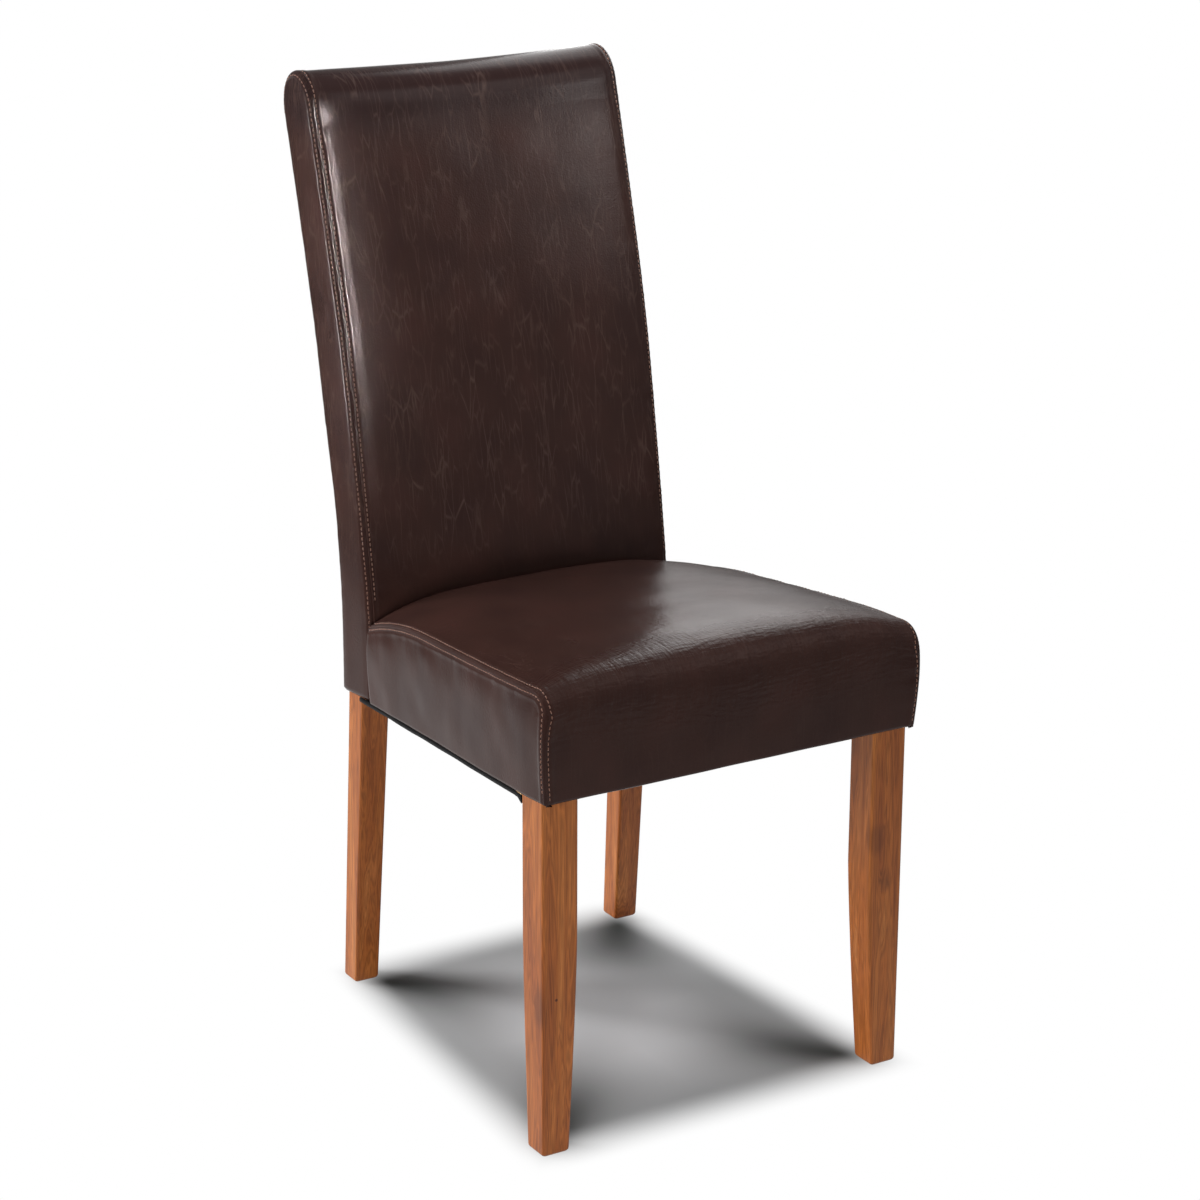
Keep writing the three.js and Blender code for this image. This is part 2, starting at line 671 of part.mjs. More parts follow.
// One upright ring of the cushion: up the left side, over the top and down the right side.
const topShares = [-1, -0.94, -0.84, -0.66, -0.4, 0, 0.4, 0.66, 0.84, 0.94, 1];
const sideShares = [1, 0.75, 0.5, 0.3, 0.12];
function cushionRing(y, inset, bottomDrop) {
  const half = seamHalf(y, inset);
  const top = cushionTop(1, y, inset);
  const bottom = hem(y) - bottomDrop;
  const place = (x, z) => {
    const low = clamp((top - z) / (top - hem(y)), 0, 1);
    const near = 1 - clamp((y - cushionFront) / frontTuckDepth, 0, 1);
    return point(x, y + frontTuck * low * low * near, z);
  };
  const side = sideShares.map((share) => {
    const bulge = sideBulge * Math.sin(Math.PI * share ** sideBulgePower);
    const out = seamInset * (1 - (1 - share) ** seamRoundPower) + bulge;
    return [half + out - hemInset * share * share, lerp(top, hem(y), share)];
  });
  const left = [place(-side[0][0], bottom), ...side.map(([x, z]) => place(-x, z))];
  const right = [...side.map(([x, z]) => place(x, z)).reverse(), place(side[0][0], bottom)];
  const over = topShares.map((share) => place(share * half, cushionTop(share, y, inset)));
  return [...left, ...over, ...right];
}
function cushionDepths(inset) {
  const [front, rear] = [cushionFront + inset, cushionRear - inset];
  const frontShares = [0, 0.03, 0.1, 0.22, 0.4, 0.66, 1];
  const depthShares = [0.15, 0.32, 0.5, 0.66, 0.78, 0.87, 0.94, 0.978, 0.992, 1];
  const edge = front + middleFrontRadius;
  return [
    ...frontShares.map((share) => lerp(front, edge, share)),
    ...depthShares.map((share) => lerp(edge, rear, share)),
  ];
}
const cushionBody = (inset, bottomDrop) =>
  solid(loft(cushionDepths(inset).map((y) => cushionRing(y, inset, bottomDrop))));

// The space outside the left side seam of the seat, moved outwards by an amount.
function besideSeatSeam(outwards) {
  const wide = legSpread + overrun;
  const depths = cushionDepths(0);
  const rings = depths.map((y, i) => {
    const seam = seamHalf(y, 0) - leather - gap + outwards;
    const depth = y + (i === 0 ? -overrun : i === depths.length - 1 ? overrun : 0);
    const [low, mid, high] = [hem(y) - overrun, hem(y), cushionTop(1, y, 0)];
    return [
      point(-wide, depth, low), point(-seam + seamSlant, depth, low),
      point(-seam + seamSlant, depth, mid), point(-seam, depth, high),
      point(-seam, depth, high + overrun), point(-wide, depth, high + overrun),
    ];
  });
  return solid(loft(rings));
}

// The plan of the seat frame's outside, grown by a gap, up to the top of the webbing.
function seatFrameSpace() {
  const back = seatDepth + backThickness;
  const plan = [
    [-legSpread - gap, -gap], [legSpread + gap, -gap], [legSpread + gap, legWidth],
    [-railOuter(seatDepth) + gap, seatDepth], [postSpread + gap, back], [-postSpread - gap, back],
    [railOuter(seatDepth) - gap, seatDepth], [-legSpread - gap, legWidth],
  ];
  return solid(seatPrism(plan, -overrun, webLevel + webWave + webThickness + gap));
}

// The opening that the seat's cover leaves for the back.
function backMouth() {
  const half = backHalf + gap;
  const start = cushionRear - leather - gap;
  return solid(seatBox(-half, half, start, seatDepth + backThickness, -overrun, chairHeight));
}

// The dust cover's plan, notched around the four legs.
function dustCoverPlan() {
  const legInner = legSpread - legWidth - gap;
  const legRear = legWidth + gap;
  const postFace = postFront(hemHeight) - gap;
  const [sideStart, sideEnd] = [legRear, postFace].map((y) => -railOuter(y) + dustCoverOverhang);
  const beside = postInner - gap;
  const right = [
    [legInner, dustCoverInset], [legInner, legRear], [sideStart, legRear],
    [sideEnd, postFace], [beside, postFace], [beside, rearRailBack - dustCoverInset],
  ];
  return [...right, ...right.map(([x, y]) => [-x, y]).reverse()];
}
function dustCoverGeometry() {
  const plan = new THREE.Shape(dustCoverPlan().map(([x, y]) => new THREE.Vector2(x, y)));
  const sheet = new THREE.ExtrudeGeometry(plan, { depth: dustCoverThickness, bevelEnabled: false });
  const corners = sheet.attributes.position;
  for (let i = 0; i < corners.count; i++) {
    corners.setZ(i, corners.getZ(i) + railBottom(corners.getY(i)) - gap - dustCoverThickness);
  }
  return sheet;
}

// The finished chair, in groups by what the pieces are
const chair = new THREE.Group();
chair.name = "parsons_chair";
const frame = new THREE.Group();
const fasteners = new THREE.Group();
const straps = new THREE.Group();
const filling = new THREE.Group();
const cover = new THREE.Group();
chair.add(frame, fasteners, straps, filling, cover);

function put(group, name, shape, material, place) {
  const geometry = shape.isBufferGeometry ? tidy(shape) : geometryOf(shape);
  const mesh = new THREE.Mesh(geometry, material);
  mesh.name = name;
  if (place) mesh.applyMatrix4(place);
  group.add(mesh);
}

// The same piece on the left and, mirrored, on the right.
function putPair(group, name, shape, material) {
  const left = shape.isBufferGeometry ? shape : geometryOf(shape);
  put(group, "left_" + name, left, material);
  put(group, "right_" + name, mirrored(left), material);
}

// The same fastener on the left and on the right: it is round, so the right one is only placed as
// a mirror image.
function putFastenerPair(name, geometry, origin, direction) {
  put(fasteners, "left_" + name, geometry, zincSteel, placed(origin, direction));
  const across = point(-1, 1, 1);
  const place = placed(origin.clone().multiply(across), direction.clone().multiply(across));
  put(fasteners, "right_" + name, geometry, zincSteel, place);
}
function putAt(name, geometry, place) {
  const origin = new THREE.Vector3().setFromMatrixPosition(place);
  const direction = point(0, 0, 1).transformDirection(place);
  putFastenerPair(name, geometry, origin, direction);
}

function addFrame() {
  const railEnds = Object.values(backRails).map(([low, high]) => backRailTenons(low, high, gap));
  const mortises = [solid(sideRailTenon(gap)), solid(rearRailTenons(gap)), ...railEnds];
  const post = mortises.reduce((rest, mortise) => rest.subtract(mortise), solid(postGeometry(0)));
  putPair(frame, "rear_post", post, stainedWood);
  putPair(frame, "front_leg", drilled(solid(frontLegGeometry()), boltHole, boltPlaces), stainedWood);
  const sideScrews = [frontScrewPlaces[1], rearScrewPlaces[1]];
  putPair(frame, "seat_rail", drilled(sideRailBody(), screwHole, sideScrews), rawWood);
  const acrossChair = new THREE.Matrix4().makeScale(-1, 1, 1);
  const bothSides = (place) => [place, acrossChair.clone().multiply(place)];
  const half = legSpread - legWidth - gap;
  const front = solid(seatBox(-half, half, 0, railThickness, 0, railHeight));
  put(frame, "front_seat_rail", drilled(front, screwHole, bothSides(frontScrewPlaces[0])), rawWood);
  const rear = drilled(rearRailBody(), screwHole, bothSides(rearScrewPlaces[0]));
  put(frame, "rear_seat_rail", rear, rawWood);
  for (const [name, [low, high]] of Object.entries(backRails)) {
    put(frame, name, backRailBody(low, high), rawWood);
  }
  const boltedBlock = drilled(blockBody(frontBlockPlan), boltHole, boltPlaces);
  const frontBlock = drilled(boltedBlock, screwHole, frontScrewPlaces);
  putPair(frame, "front_corner_block", frontBlock, rawWood);
  const rearBlock = drilled(blockBody(rearBlockPlan), screwHole, rearScrewPlaces);
  putPair(frame, "rear_corner_block", rearBlock, rawWood);
}

function addFasteners() {
  ["lower", "upper"].forEach((level, i) => {
    putAt(level + "_leg_bolt", boltGeometry, boltPlaces[i]);
    putAt(level + "_leg_bolt_washer", washerGeometry, boltPlaces[i]);
    putAt(level + "_leg_bolt_nut", nutGeometry, boltPlaces[i]);
  });
  putAt("front_block_cross_screw", screwGeometry, frontScrewPlaces[0]);
  putAt("front_block_side_screw", screwGeometry, frontScrewPlaces[1]);
  putAt("rear_block_cross_screw", screwGeometry, rearScrewPlaces[0]);
  putAt("rear_block_side_screw", screwGeometry, rearScrewPlaces[1]);
}

function addWebbing() {
  const columnNames = ["left", "middle", "right"];
  webColumns.forEach((x, i) => {
    put(straps, columnNames[i] + "_seat_strap", lengthwaysStrap(x), webbing);
  });
  const rowNames = ["front", "centre", "rear"];
  crosswaysShares.forEach((share, i) => {
    const strap = crosswaysStrap(share * seatDepth, i % 2 ? -1 : 1);
    put(straps, rowNames[i] + "_seat_cross_strap", strap, webbing);
  });
  const levelNames = ["lower", "middle", "upper"];
  const lowerSpan = (share) => lerp(lowerRailZ + lowerRailHeight, middleRailZ, share);
  const upperSpan = (share) => lerp(middleRailZ + middleRailHeight, postTop - topRailHeight, share);
  const levels = [...lowerWebShares.map(lowerSpan), upperSpan(upperWebShare)];
  levels.forEach((height, i) => {
    put(straps, levelNames[i] + "_back_strap", backStrap(height), webbing);
  });
}

// The front panel of the back and the foam behind it end down here, behind the seat.
const panelFoot = seatJunctionHeight - tuckDepth;

function addFilling() {
  const depth = leather + gap;
  const backSpace = backBody(-gap);
  const seat = cushionBody(depth, overrun)
    .subtract(seatFrameSpace())
    .subtract(underHem(gap, cushionFront - overrun))
    .subtract(underHem(sideWrapStart, -gap))
    .subtract(backSpace);
  put(filling, "seat_foam", seat, foamFill);
  const wide = backHalf + overrun;
  const frameFace = (z) => postFront(z) - webThickness - 2 * gap;
  const pad = backBody(depth)
    .subtract(spaceBehind(frameFace, backFoot - overrun, postTop + gap, postSpread + gap))
    .subtract(spaceBehind(postRear, backFoot - overrun, postTop + gap, wide))
    .subtract(slab(-wide, wide, backFoot - overrun, panelFoot));
  put(filling, "back_foam", pad, foamFill);
  const rear = backBody(depth)
    .intersect(spaceBehind((z) => postRear(z) + gap, backFoot - overrun, postTop, wide))
    .subtract(underHem(hemRise + gap, 0));
  put(filling, "back_rear_wadding", rear, wadding);
}

function addSeatCover() {
  const skin = cushionBody(0, 0)
    .subtract(cushionBody(leather, overrun))
    .subtract(backMouth())
    .subtract(backBody(-gap));
  putPair(cover, "seat_side_panel", skin.intersect(besideSeatSeam(0)), brownLeather);
  const beside = besideSeatSeam(-gap);
  const besideRight = solid(mirrored(geometryOf(beside)));
  const wallTop = seamHeight(cushionRear) - leather;
  const rearWall = spaceBehind(() => cushionRear - turnInRadius, backFoot, wallTop, legSpread);
  const top = skin.subtract(beside).subtract(besideRight).subtract(rearWall);
  put(cover, "seat_top_panel", top, brownLeather);
}

function addBackCover() {
  const [low, high] = [backFoot - overrun, chairHeight + overrun];
  const skin = backBody(0).subtract(backBody(leather)).subtract(underHem(0, 0));
  const seam = backHalf - leather - gap;
  const left = skin.intersect(slab(-backHalf - overrun, -seam, low, high));
  putPair(cover, "back_boxing", left, brownLeather);
  const panels = skin.intersect(slab(gap - seam, seam - gap, low, high));
  const rearSeam = rollCentre - rearSeamDrop;
  const half = (z) => backSeam(z) + backThickness / 2;
  const rear = panels.intersect(spaceBehind(half, low, rearSeam, backHalf));
  put(cover, "back_rear_panel", rear, brownLeather);
  const front = panels
    .subtract(spaceBehind(half, low, rearSeam + gap, backHalf))
    .subtract(slab(-backHalf, backHalf, low, panelFoot));
  put(cover, "back_front_panel", front, brownLeather);
}

addFrame();
addFasteners();
addWebbing();
addFilling();
addSeatCover();
addBackCover();
put(cover, "dust_cover", dustCoverGeometry(), blackCloth);

// The origin: on the floor, under the middle of the chair's outline.
const bounds = new THREE.Box3().setFromObject(chair);
chair.position.y = -(bounds.min.y + bounds.max.y) / 2;

export default chair;
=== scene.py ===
"""A high-backed parsons chair: stained wooden legs under a seat and a back that are padded and
covered in dark brown leather, sewn from panels with twin-needle seams.

The values are in millimetres, and place() turns them into the frame's metres. A depth is counted
from the front legs' front face towards the back."""

import math

import bmesh
import bpy
import numpy as np
from mathutils import Euler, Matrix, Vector


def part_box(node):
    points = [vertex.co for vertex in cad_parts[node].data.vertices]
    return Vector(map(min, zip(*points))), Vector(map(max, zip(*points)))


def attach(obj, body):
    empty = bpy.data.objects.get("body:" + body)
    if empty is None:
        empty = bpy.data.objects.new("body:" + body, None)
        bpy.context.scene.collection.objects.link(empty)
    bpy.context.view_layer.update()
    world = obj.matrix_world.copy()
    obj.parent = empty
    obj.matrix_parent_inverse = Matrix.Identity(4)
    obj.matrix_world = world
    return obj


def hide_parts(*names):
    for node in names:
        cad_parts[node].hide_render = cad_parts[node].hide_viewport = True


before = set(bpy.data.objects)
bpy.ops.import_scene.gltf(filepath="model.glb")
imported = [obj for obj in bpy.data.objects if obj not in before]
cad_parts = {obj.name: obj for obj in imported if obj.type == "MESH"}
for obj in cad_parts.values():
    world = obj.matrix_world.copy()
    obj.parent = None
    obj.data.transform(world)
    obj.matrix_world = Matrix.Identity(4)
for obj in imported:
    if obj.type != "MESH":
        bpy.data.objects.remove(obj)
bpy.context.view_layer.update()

MM = 0.001
BODY = "root"


def node_box(name):
    """A CAD node's lowest and highest corners in millimetres."""
    low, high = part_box(name)
    return np.array(low) / MM, np.array(high) / MM


leg_low, leg_high = node_box("left_front_leg")
post_high = node_box("left_rear_post")[1]
boxing_low, boxing_high = node_box("left_back_boxing")

# Plan, read from the frame
FRONT_FACE = leg_low[1]
LEG_SPREAD = -leg_low[0]
BACK_HALF = -boxing_low[0]
CHAIR_HEIGHT = boxing_high[2]
POST_INSET = 33.8  # a front leg's outer face to a rear post's
POST_SPREAD = LEG_SPREAD - POST_INSET
SEAT_DEPTH = 414  # front legs' front face to the front seam of the back

# Side view of the chair
HEM_HEIGHT = 385  # lower edge of the cover at the front legs' front face
HEM_SLOPE = 0.07
JUNCTION = HEM_HEIGHT + 71  # where the seat meets the back at the seam
SHOULDER = JUNCTION + 276  # the back leans further above this
WAIST = JUNCTION + 99
WAIST_SPAN = 75
WAIST_THINNING = 5
LOWER_RAKE = 0.16
UPPER_RAKE = 0.12
JUNCTION_BLEND = 20
SHOULDER_BLEND = 80
BACK_THICKNESS = 71
ROLL_HEIGHT = 42
ROLL_SAG = 4
ROLL_EASE = 15  # the outline is averaged this far up and down where the roll starts
TOP_LEAN = 2.5  # just under the roll the panel leans this much further back
TOP_LEAN_HEIGHT = 65
REAR_EDGE_RADIUS = 5  # the rear panel's ends round towards the boxing
REAR_SEAM_DROP = 28  # the front panel ends this far below the roll's centre, at the rear
PANEL_FOOT = JUNCTION - 30

# Crown of the back's front panel
EDGE_CROWN = 5
EDGE_CROWN_WIDTH = 18
MIDDLE_CROWN = 7
MIDDLE_CROWN_POWER = 3.4

# The boxing stands out of the seams and turns round to them
BOXING_BULGE = 2.6
BOXING_ROUND = 17
BOXING_TURN = 5.6
BOXING_SEAM_SHARE = 0.42  # of the way to the spine: the columns that lie close beside the seam
SEAM_IN = BOXING_TURN - BOXING_BULGE - 0.6

# Seat cushion
FRONT_PADDING = 14
SIDE_PADDING = 5.6
REAR_SIDE_PADDING = 11
SEAT_EDGE = HEM_HEIGHT + 116  # the side seams at the front
SEAT_CROWN = 20
REAR_CROWN = 9
REAR_GAP = 0.1  # the seat's cover to the back's
REAR_LEVEL = 495  # the seat's rear edge follows the back's front at this height
REAR_SINK = 22
REAR_SINK_START = 270
TOP_SLOPE = 0.085
CROWN_POWER = 3.9
EDGE_FRONT_RADIUS = 25
MIDDLE_FRONT_RADIUS = 47  # of the eased curve in the middle, which a circle of 38 fits
CORNER_RADIUS = 4
TURN_IN_RADIUS = 8
TAPER_START = 41.2  # behind this depth the sides draw in towards the posts
TAPER_BLEND = 40
SEAM_INSET = 2.6
SEAM_ROUND_POWER = 5
SIDE_BULGE = 2.2
SIDE_BULGE_POWER = 0.6
HEM_INSET = 2
FRONT_EASE = 6.5
FRONT_EASE_DEPTH = 150
SETTLING_FADE = 60  # the settling dies out over this height above the hem
FRONT_TUCK = 3
FRONT_TUCK_DEPTH = 60
WATERFALL_RISE = 16  # the leather is wrinkled most this far above the end of the front edge's round
WATERFALL_SPAN = 42
TOP_CREASED = 0.2  # how wrinkled the rest of the top is
CORNER_SINK = 4.5  # the right front corner is this much lower
CORNER_SINK_X = 215
CORNER_SINK_DEPTH = -8
CORNER_SINK_SPAN = (42, 55)  # across and in depth
CREVICE_RADIUS = 11  # the seat's top rolls down against the back
CREVICE_DEPTH = 26

# Leather, its seams and its thread
LEATHER = 1.2
EDGE_TURN = 1.1  # radius with which a panel's edge turns into its seam
STITCH_OFFSET = 4  # a row of stitches to its seam
STITCH_PITCH = 5.4
STITCH_LENGTH = 3.7
THREAD = 1.1
RIDGE = 0.22  # how far the ridge beside a twin-needle seam stands proud
BACK_RIDGE = 0.5  # the same beside the back's seams
RIDGE_PLACE = (2, 0.9)  # its distance from the seam, and its half-width
GROOVE = 0.55
GROOVE_WIDTH = 0.8
SWELL = 0.5
SWELL_PLACE = (7.5, 2.6)
ALLOWANCE = 3  # how far the leather goes inwards behind its seams and its hem
SEAM_CALM = 22  # the leather lies smooth this near to a seam
HEM_TURN = 3

# Legs and posts
LEG_WIDTH = leg_high[0] - leg_low[0]
LEG_FOOT_WIDTH = 31.3
LEG_TAPER_HEIGHT = 230
LEG_TAPER_POWER = 1.25
POST_WIDTH = 34.2
POST_FOOT_WIDTH = 29.4
POST_FOOT_SPLAY = 1
POST_DEPTHS = ((0, 28.4), (HEM_HEIGHT, 33.6), (JUNCTION, 33.6), (post_high[2], 27))
REAR_PADDING = 11
SPLAY_BLEND = 40
SPLAY_SHARE = 0.07
WORN_EDGE = 2.8  # radius of the sanded long edges
FOOT_EDGE = 4.5

# Filling
FOAM_INSET = 2.6  # drawn in under the leather by this much
HEM_CLEARANCE = 5  # it ends this far above the hem
FOAM_CELL = 4  # cell of its remeshed surface

# Dust cover under the seat
DUST_CLOTH = 0.6
DUST_REAR_HALF = 184.4  # its half-width where its sides meet the posts
DUST_POST_INNER = 151.5  # its notches for the posts: from the middle, and in depth
DUST_POST_FRONT = 442.4
DUST_LEG_GAP = 1.3
DUST_DROP = 3.3  # below the cover's hem
DUST_SAG = 3
DUST_LOOSE = 6  # how far its loose corner hangs

# Spacing of the surfaces' points: close beside a seam, then even
SEAM_STEPS = np.array([0, 0.3, 0.6, 0.9, 1.3, 1.7, 2.1, 2.5, 2.9, 3.3, 3.65, 4, 4.35, 4.7, 5.1, 5.6,
                       6.2, 7, 8, 9.2, 10.7, 12.5, 14.6])
EVEN_STEP = 3.2
CALM_LINE = 18  # this line of points lies beyond the relief of the seam
BACK_COLUMNS = 46  # even columns in half of the back's front panel
SEAT_COLUMNS = 52
ROUND_ROWS = 30  # rows over the seat's front edge
LATTICE = 256  # cells along a side of the noise's table


def soft_ramp(t, blend):
    """Zero below, t above, rounded over the blend in between."""
    return 0.5 * (t + np.hypot(t, blend))


def round_fall(distance, radius):
    """How far a rounded edge has fallen at this distance from its end: a quarter circle."""
    rest = 1 - np.clip(distance / radius, 0, 1)
    return radius * (1 - np.sqrt(1 - rest**2))


def lerp(a, b, share):
    """The value a share of the way from a to b."""
    return a + (b - a) * share


def smooth_step(t):
    """Rises from 0 to 1 with level ends."""
    t = np.clip(t, 0, 1)
    return t * t * (3 - 2 * t)


def bell(t, centre, width):
    """A bell-shaped rise of height 1."""
    return np.exp(-(((t - centre) / width) ** 2))


def value_noise(x, y, seed):
    """Smooth noise from -1 to 1 with features one unit wide: random values on a lattice, blended
    between the four corners of each cell by a quintic."""
    table = np.random.default_rng(seed).uniform(-1, 1, (LATTICE, LATTICE))
    x0, y0 = np.floor(x).astype(int), np.floor(y).astype(int)
    tx, ty = (t**3 * (t * (t * 6 - 15) + 10) for t in (x - x0, y - y0))

    def corner(right, up):
        """The random values at one corner of the cells."""
        return table[(x0 + right) % LATTICE, (y0 + up) % LATTICE]

    low = lerp(corner(0, 0), corner(1, 0), tx)
    high = lerp(corner(0, 1), corner(1, 1), tx)
    return lerp(low, high, ty)


def layered_noise(x, y, seed, layers=3):
    """Noise of several sizes added together, each half as wide and half as strong."""
    total = sum(value_noise(x * 2**i, y * 2**i, seed + i) / 2**i for i in range(layers))
    return total / (2 - 2 ** (1 - layers))


def run_length(points):
    """Distance along a line of points at each of them."""
    steps = np.linalg.norm(np.diff(points, axis=0), axis=1)
    return np.concatenate([[0], np.cumsum(steps)])


def resample(points, distances):
    """The points at these distances along a line of points."""
    run = run_length(points)
    return np.stack([np.interp(distances, run, axis) for axis in points.T], axis=-1)


def seam_spaced(length, first_seam=True, last_seam=True, step=EVEN_STEP):
    """Distances from 0 to length, close together beside the ends that are seams."""
    start = SEAM_STEPS if first_seam else np.array([0.0])
    end = length - (SEAM_STEPS if last_seam else np.array([0.0]))[::-1]
    count = max(int(round((end[0] - start[-1]) / step)), 1)
    middle = np.linspace(start[-1], end[0], count + 1)[1:-1]
    return np.concatenate([start, middle, end])


def half_spaced(middle, count):
    """Distances from a seam to the middle of a panel: close together beside the seam, then even."""
    return np.concatenate([SEAM_STEPS, np.linspace(SEAM_STEPS[-1], middle, count)[1:]])


# Side view of the back
LEAN = math.atan(LOWER_RAKE + UPPER_RAKE)
ROLL_HALF = BACK_THICKNESS * math.cos(LEAN) / 2
ROLL_CENTRE = CHAIR_HEIGHT - math.hypot(ROLL_HALF * math.sin(LEAN), ROLL_HEIGHT * math.cos(LEAN))
ROLL_START = ROLL_CENTRE - ROLL_HALF * math.sin(LEAN)


def hem(depth):
    """Height of the cover's lower edge."""
    return HEM_HEIGHT - HEM_SLOPE * depth


def back_seam(z):
    """Depth of the back's front seam at height z: two rakes, one above the other."""
    lower = LOWER_RAKE * soft_ramp(z - JUNCTION, JUNCTION_BLEND)
    return SEAT_DEPTH + lower + UPPER_RAKE * soft_ramp(z - SHOULDER, SHOULDER_BLEND)


def back_rear(z):
    """Depth of the back's rear face at height z: the seam's depth, the thickness and a waist."""
    return back_seam(z) + BACK_THICKNESS - WAIST_THINNING * bell(z, WAIST, WAIST_SPAN)


def roll_outline(angles):
    """The rolled top as (depth, height): half an ellipse leaning with the back, from its front."""
    sine, cosine = math.sin(LEAN), math.cos(LEAN)
    across = -ROLL_HALF * np.cos(angles)
    up = ROLL_HEIGHT * np.sin(angles)
    centre = back_seam(ROLL_CENTRE) + BACK_THICKNESS / 2
    depth = centre + across * cosine + up * sine
    return np.stack([depth, ROLL_CENTRE - across * sine + up * cosine], axis=-1)


def place(points):
    """Points in millimetres, counted from the front face, as points of the frame in metres."""
    return (np.asarray(points, float) + [0, FRONT_FACE, 0]) * MM


def grid_normals(points):
    """Unit normals of a grid of points: its row direction crossed with its column direction."""
    along, across = np.gradient(points, axis=0), np.gradient(points, axis=1)
    normal = np.cross(across, along)
    return normal / np.maximum(np.linalg.norm(normal, axis=-1, keepdims=True), 1e-9)


def grid_faces(rows, columns, start=0):
    """Four-sided faces over a grid of points that are numbered row by row."""
    index = start + np.arange(rows * columns).reshape(rows, columns)
    corners = [index[:-1, :-1], index[:-1, 1:], index[1:, 1:], index[1:, :-1]]
    return np.stack(corners, axis=-1).reshape(-1, 4)


def tube_faces(rows, columns):
    """Four-sided faces round a tube whose rings of points are the rows of a grid."""
    index = np.arange(rows * columns).reshape(rows, columns)
    after = np.roll(index, -1, axis=1)
    return np.stack([index[:-1], after[:-1], after[1:], index[1:]], axis=-1).reshape(-1, 4)


def rim_faces(rows, columns, open_column=None):
    """Faces that join the rim of a grid to the rim of a second grid numbered after it, except
    along the open column, which is joined to itself later."""
    index = np.arange(rows * columns).reshape(rows, columns)
    rim = np.concatenate([index[0, :-1], index[:-1, -1], index[-1, :0:-1], index[:0:-1, 0]])
    after = np.roll(rim, -1)
    inner = rows * columns
    faces = np.stack([after, rim, rim + inner, after + inner], axis=-1)
    if open_column is None:
        return faces
    along = (rim % columns == open_column) & (after % columns == open_column)
    return faces[~along]


def mesh_piece(name, points, faces, material, flat_place=None):
    """A smooth mesh object at the origin, from points in millimetres. The attribute cut holds each
    point's place on the flat piece, in millimetres, and as its third part how wrinkled the leather
    is there, from 0 to 1."""
    mesh = bpy.data.meshes.new(name)
    corners = [tuple(map(int, face)) for face in faces]
    mesh.from_pydata(place(points.reshape(-1, 3)).tolist(), [], corners)
    mesh.polygons.foreach_set("use_smooth", np.ones(len(mesh.polygons), bool))
    if flat_place is not None:
        cut = mesh.attributes.new("cut", "FLOAT_VECTOR", "POINT")
        cut.data.foreach_set("vector", flat_place.astype(np.float32).ravel())
    mesh.materials.append(material)
    piece = bpy.data.objects.new(name, mesh)
    bpy.context.scene.collection.objects.link(piece)
    return piece


def close_doubles(piece):
    """Joins the points of a piece that lie on each other."""
    work = bmesh.new()
    work.from_mesh(piece.data)
    bmesh.ops.remove_doubles(work, verts=work.verts, dist=0.005 * MM)
    work.to_mesh(piece.data)
    work.free()


def sit_on(piece, node=None):
    """The piece rides on the chair and may stand for a CAD node, which is then hidden."""
    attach(piece, BODY)
    if node:
        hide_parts(node)
    return piece


def with_allowance(outer, cut, spine=False):
    """Adds what lies inside the seams and behind the hem: one more line of points along each edge of
    the panel, straight inwards from it. A spine, the last column, gets none."""
    for axis, end in ((0, 0), (0, 1), (1, 0), (1, 1))[:3 if spine else 4]:
        normals = np.moveaxis(grid_normals(outer), axis, 0)[-1 - CALM_LINE if end else CALM_LINE]
        grid, places = np.moveaxis(outer, axis, 0), np.moveaxis(cut, axis, 0)
        line, place_line = grid[-end] - ALLOWANCE * normals, places[-end]
        pair = (grid, line[None]) if end else (line[None], grid)
        places = np.concatenate((places, place_line[None]) if end else (place_line[None], places))
        outer, cut = np.moveaxis(np.concatenate(pair), 0, axis), np.moveaxis(places, 0, axis)
    return outer, cut


def leather_panel(name, surface, node, spine=None):
    """A panel of the cover as a closed shell: its outer surface, the same surface one leather
    thickness further in, and a rim between the two. Where spine is a direction, the panel's last
    column is a line that faces this way, and its two halves are joined along it."""
    outer, cut = with_allowance(*surface, spine is not None)
    rows, columns = outer.shape[:2]
    normals = grid_normals(outer)
    if spine is not None:
        normals[:, -1] = spine
    points = np.concatenate([outer.reshape(-1, 3), (outer - LEATHER * normals).reshape(-1, 3)])
    faces = np.concatenate([grid_faces(rows, columns),
                            grid_faces(rows, columns, rows * columns)[:, ::-1],
                            rim_faces(rows, columns, None if spine is None else columns - 1)])
    piece = mesh_piece(name, points, faces, leather, np.concatenate([cut.reshape(-1, 3)] * 2))
    if spine is not None:
        close_doubles(piece)
    sit_on(piece, node)


def add(tree, kind, inputs, output=0, **settings):
    """Adds a shader node with these settings and gives back one of its outputs. Each input is fed
    by another node's output or holds a constant."""
    node = tree.nodes.new("ShaderNode" + kind)
    for key, value in settings.items():
        setattr(node, key, value)
    for key, value in inputs.items():
        if isinstance(value, bpy.types.NodeSocket):
            tree.links.new(value, node.inputs[key])
        else:
            node.inputs[key].default_value = value
    return node.outputs[output] if node.outputs else node


def combine(tree, operation, *values):
    """Values combined by one arithmetic operation."""
    return add(tree, "Math", dict(enumerate(values)), operation=operation)


def smooth_range(tree, value, low, high, start=0, end=1):
    """Goes from start to end, level at both, while the value goes from low to high."""
    inputs = {0: value, "From Min": low, "From Max": high, "To Min": start, "To Max": end}
    return add(tree, "MapRange", inputs, interpolation_type="SMOOTHSTEP")


def mixed(tree, share, first, second, blend_type="MIX"):
    """The first colour with this share of the second mixed in, or multiplied on to it."""
    inputs = {0: share, 6: first, 7: second}
    return add(tree, "Mix", inputs, 2, data_type="RGBA", blend_type=blend_type)


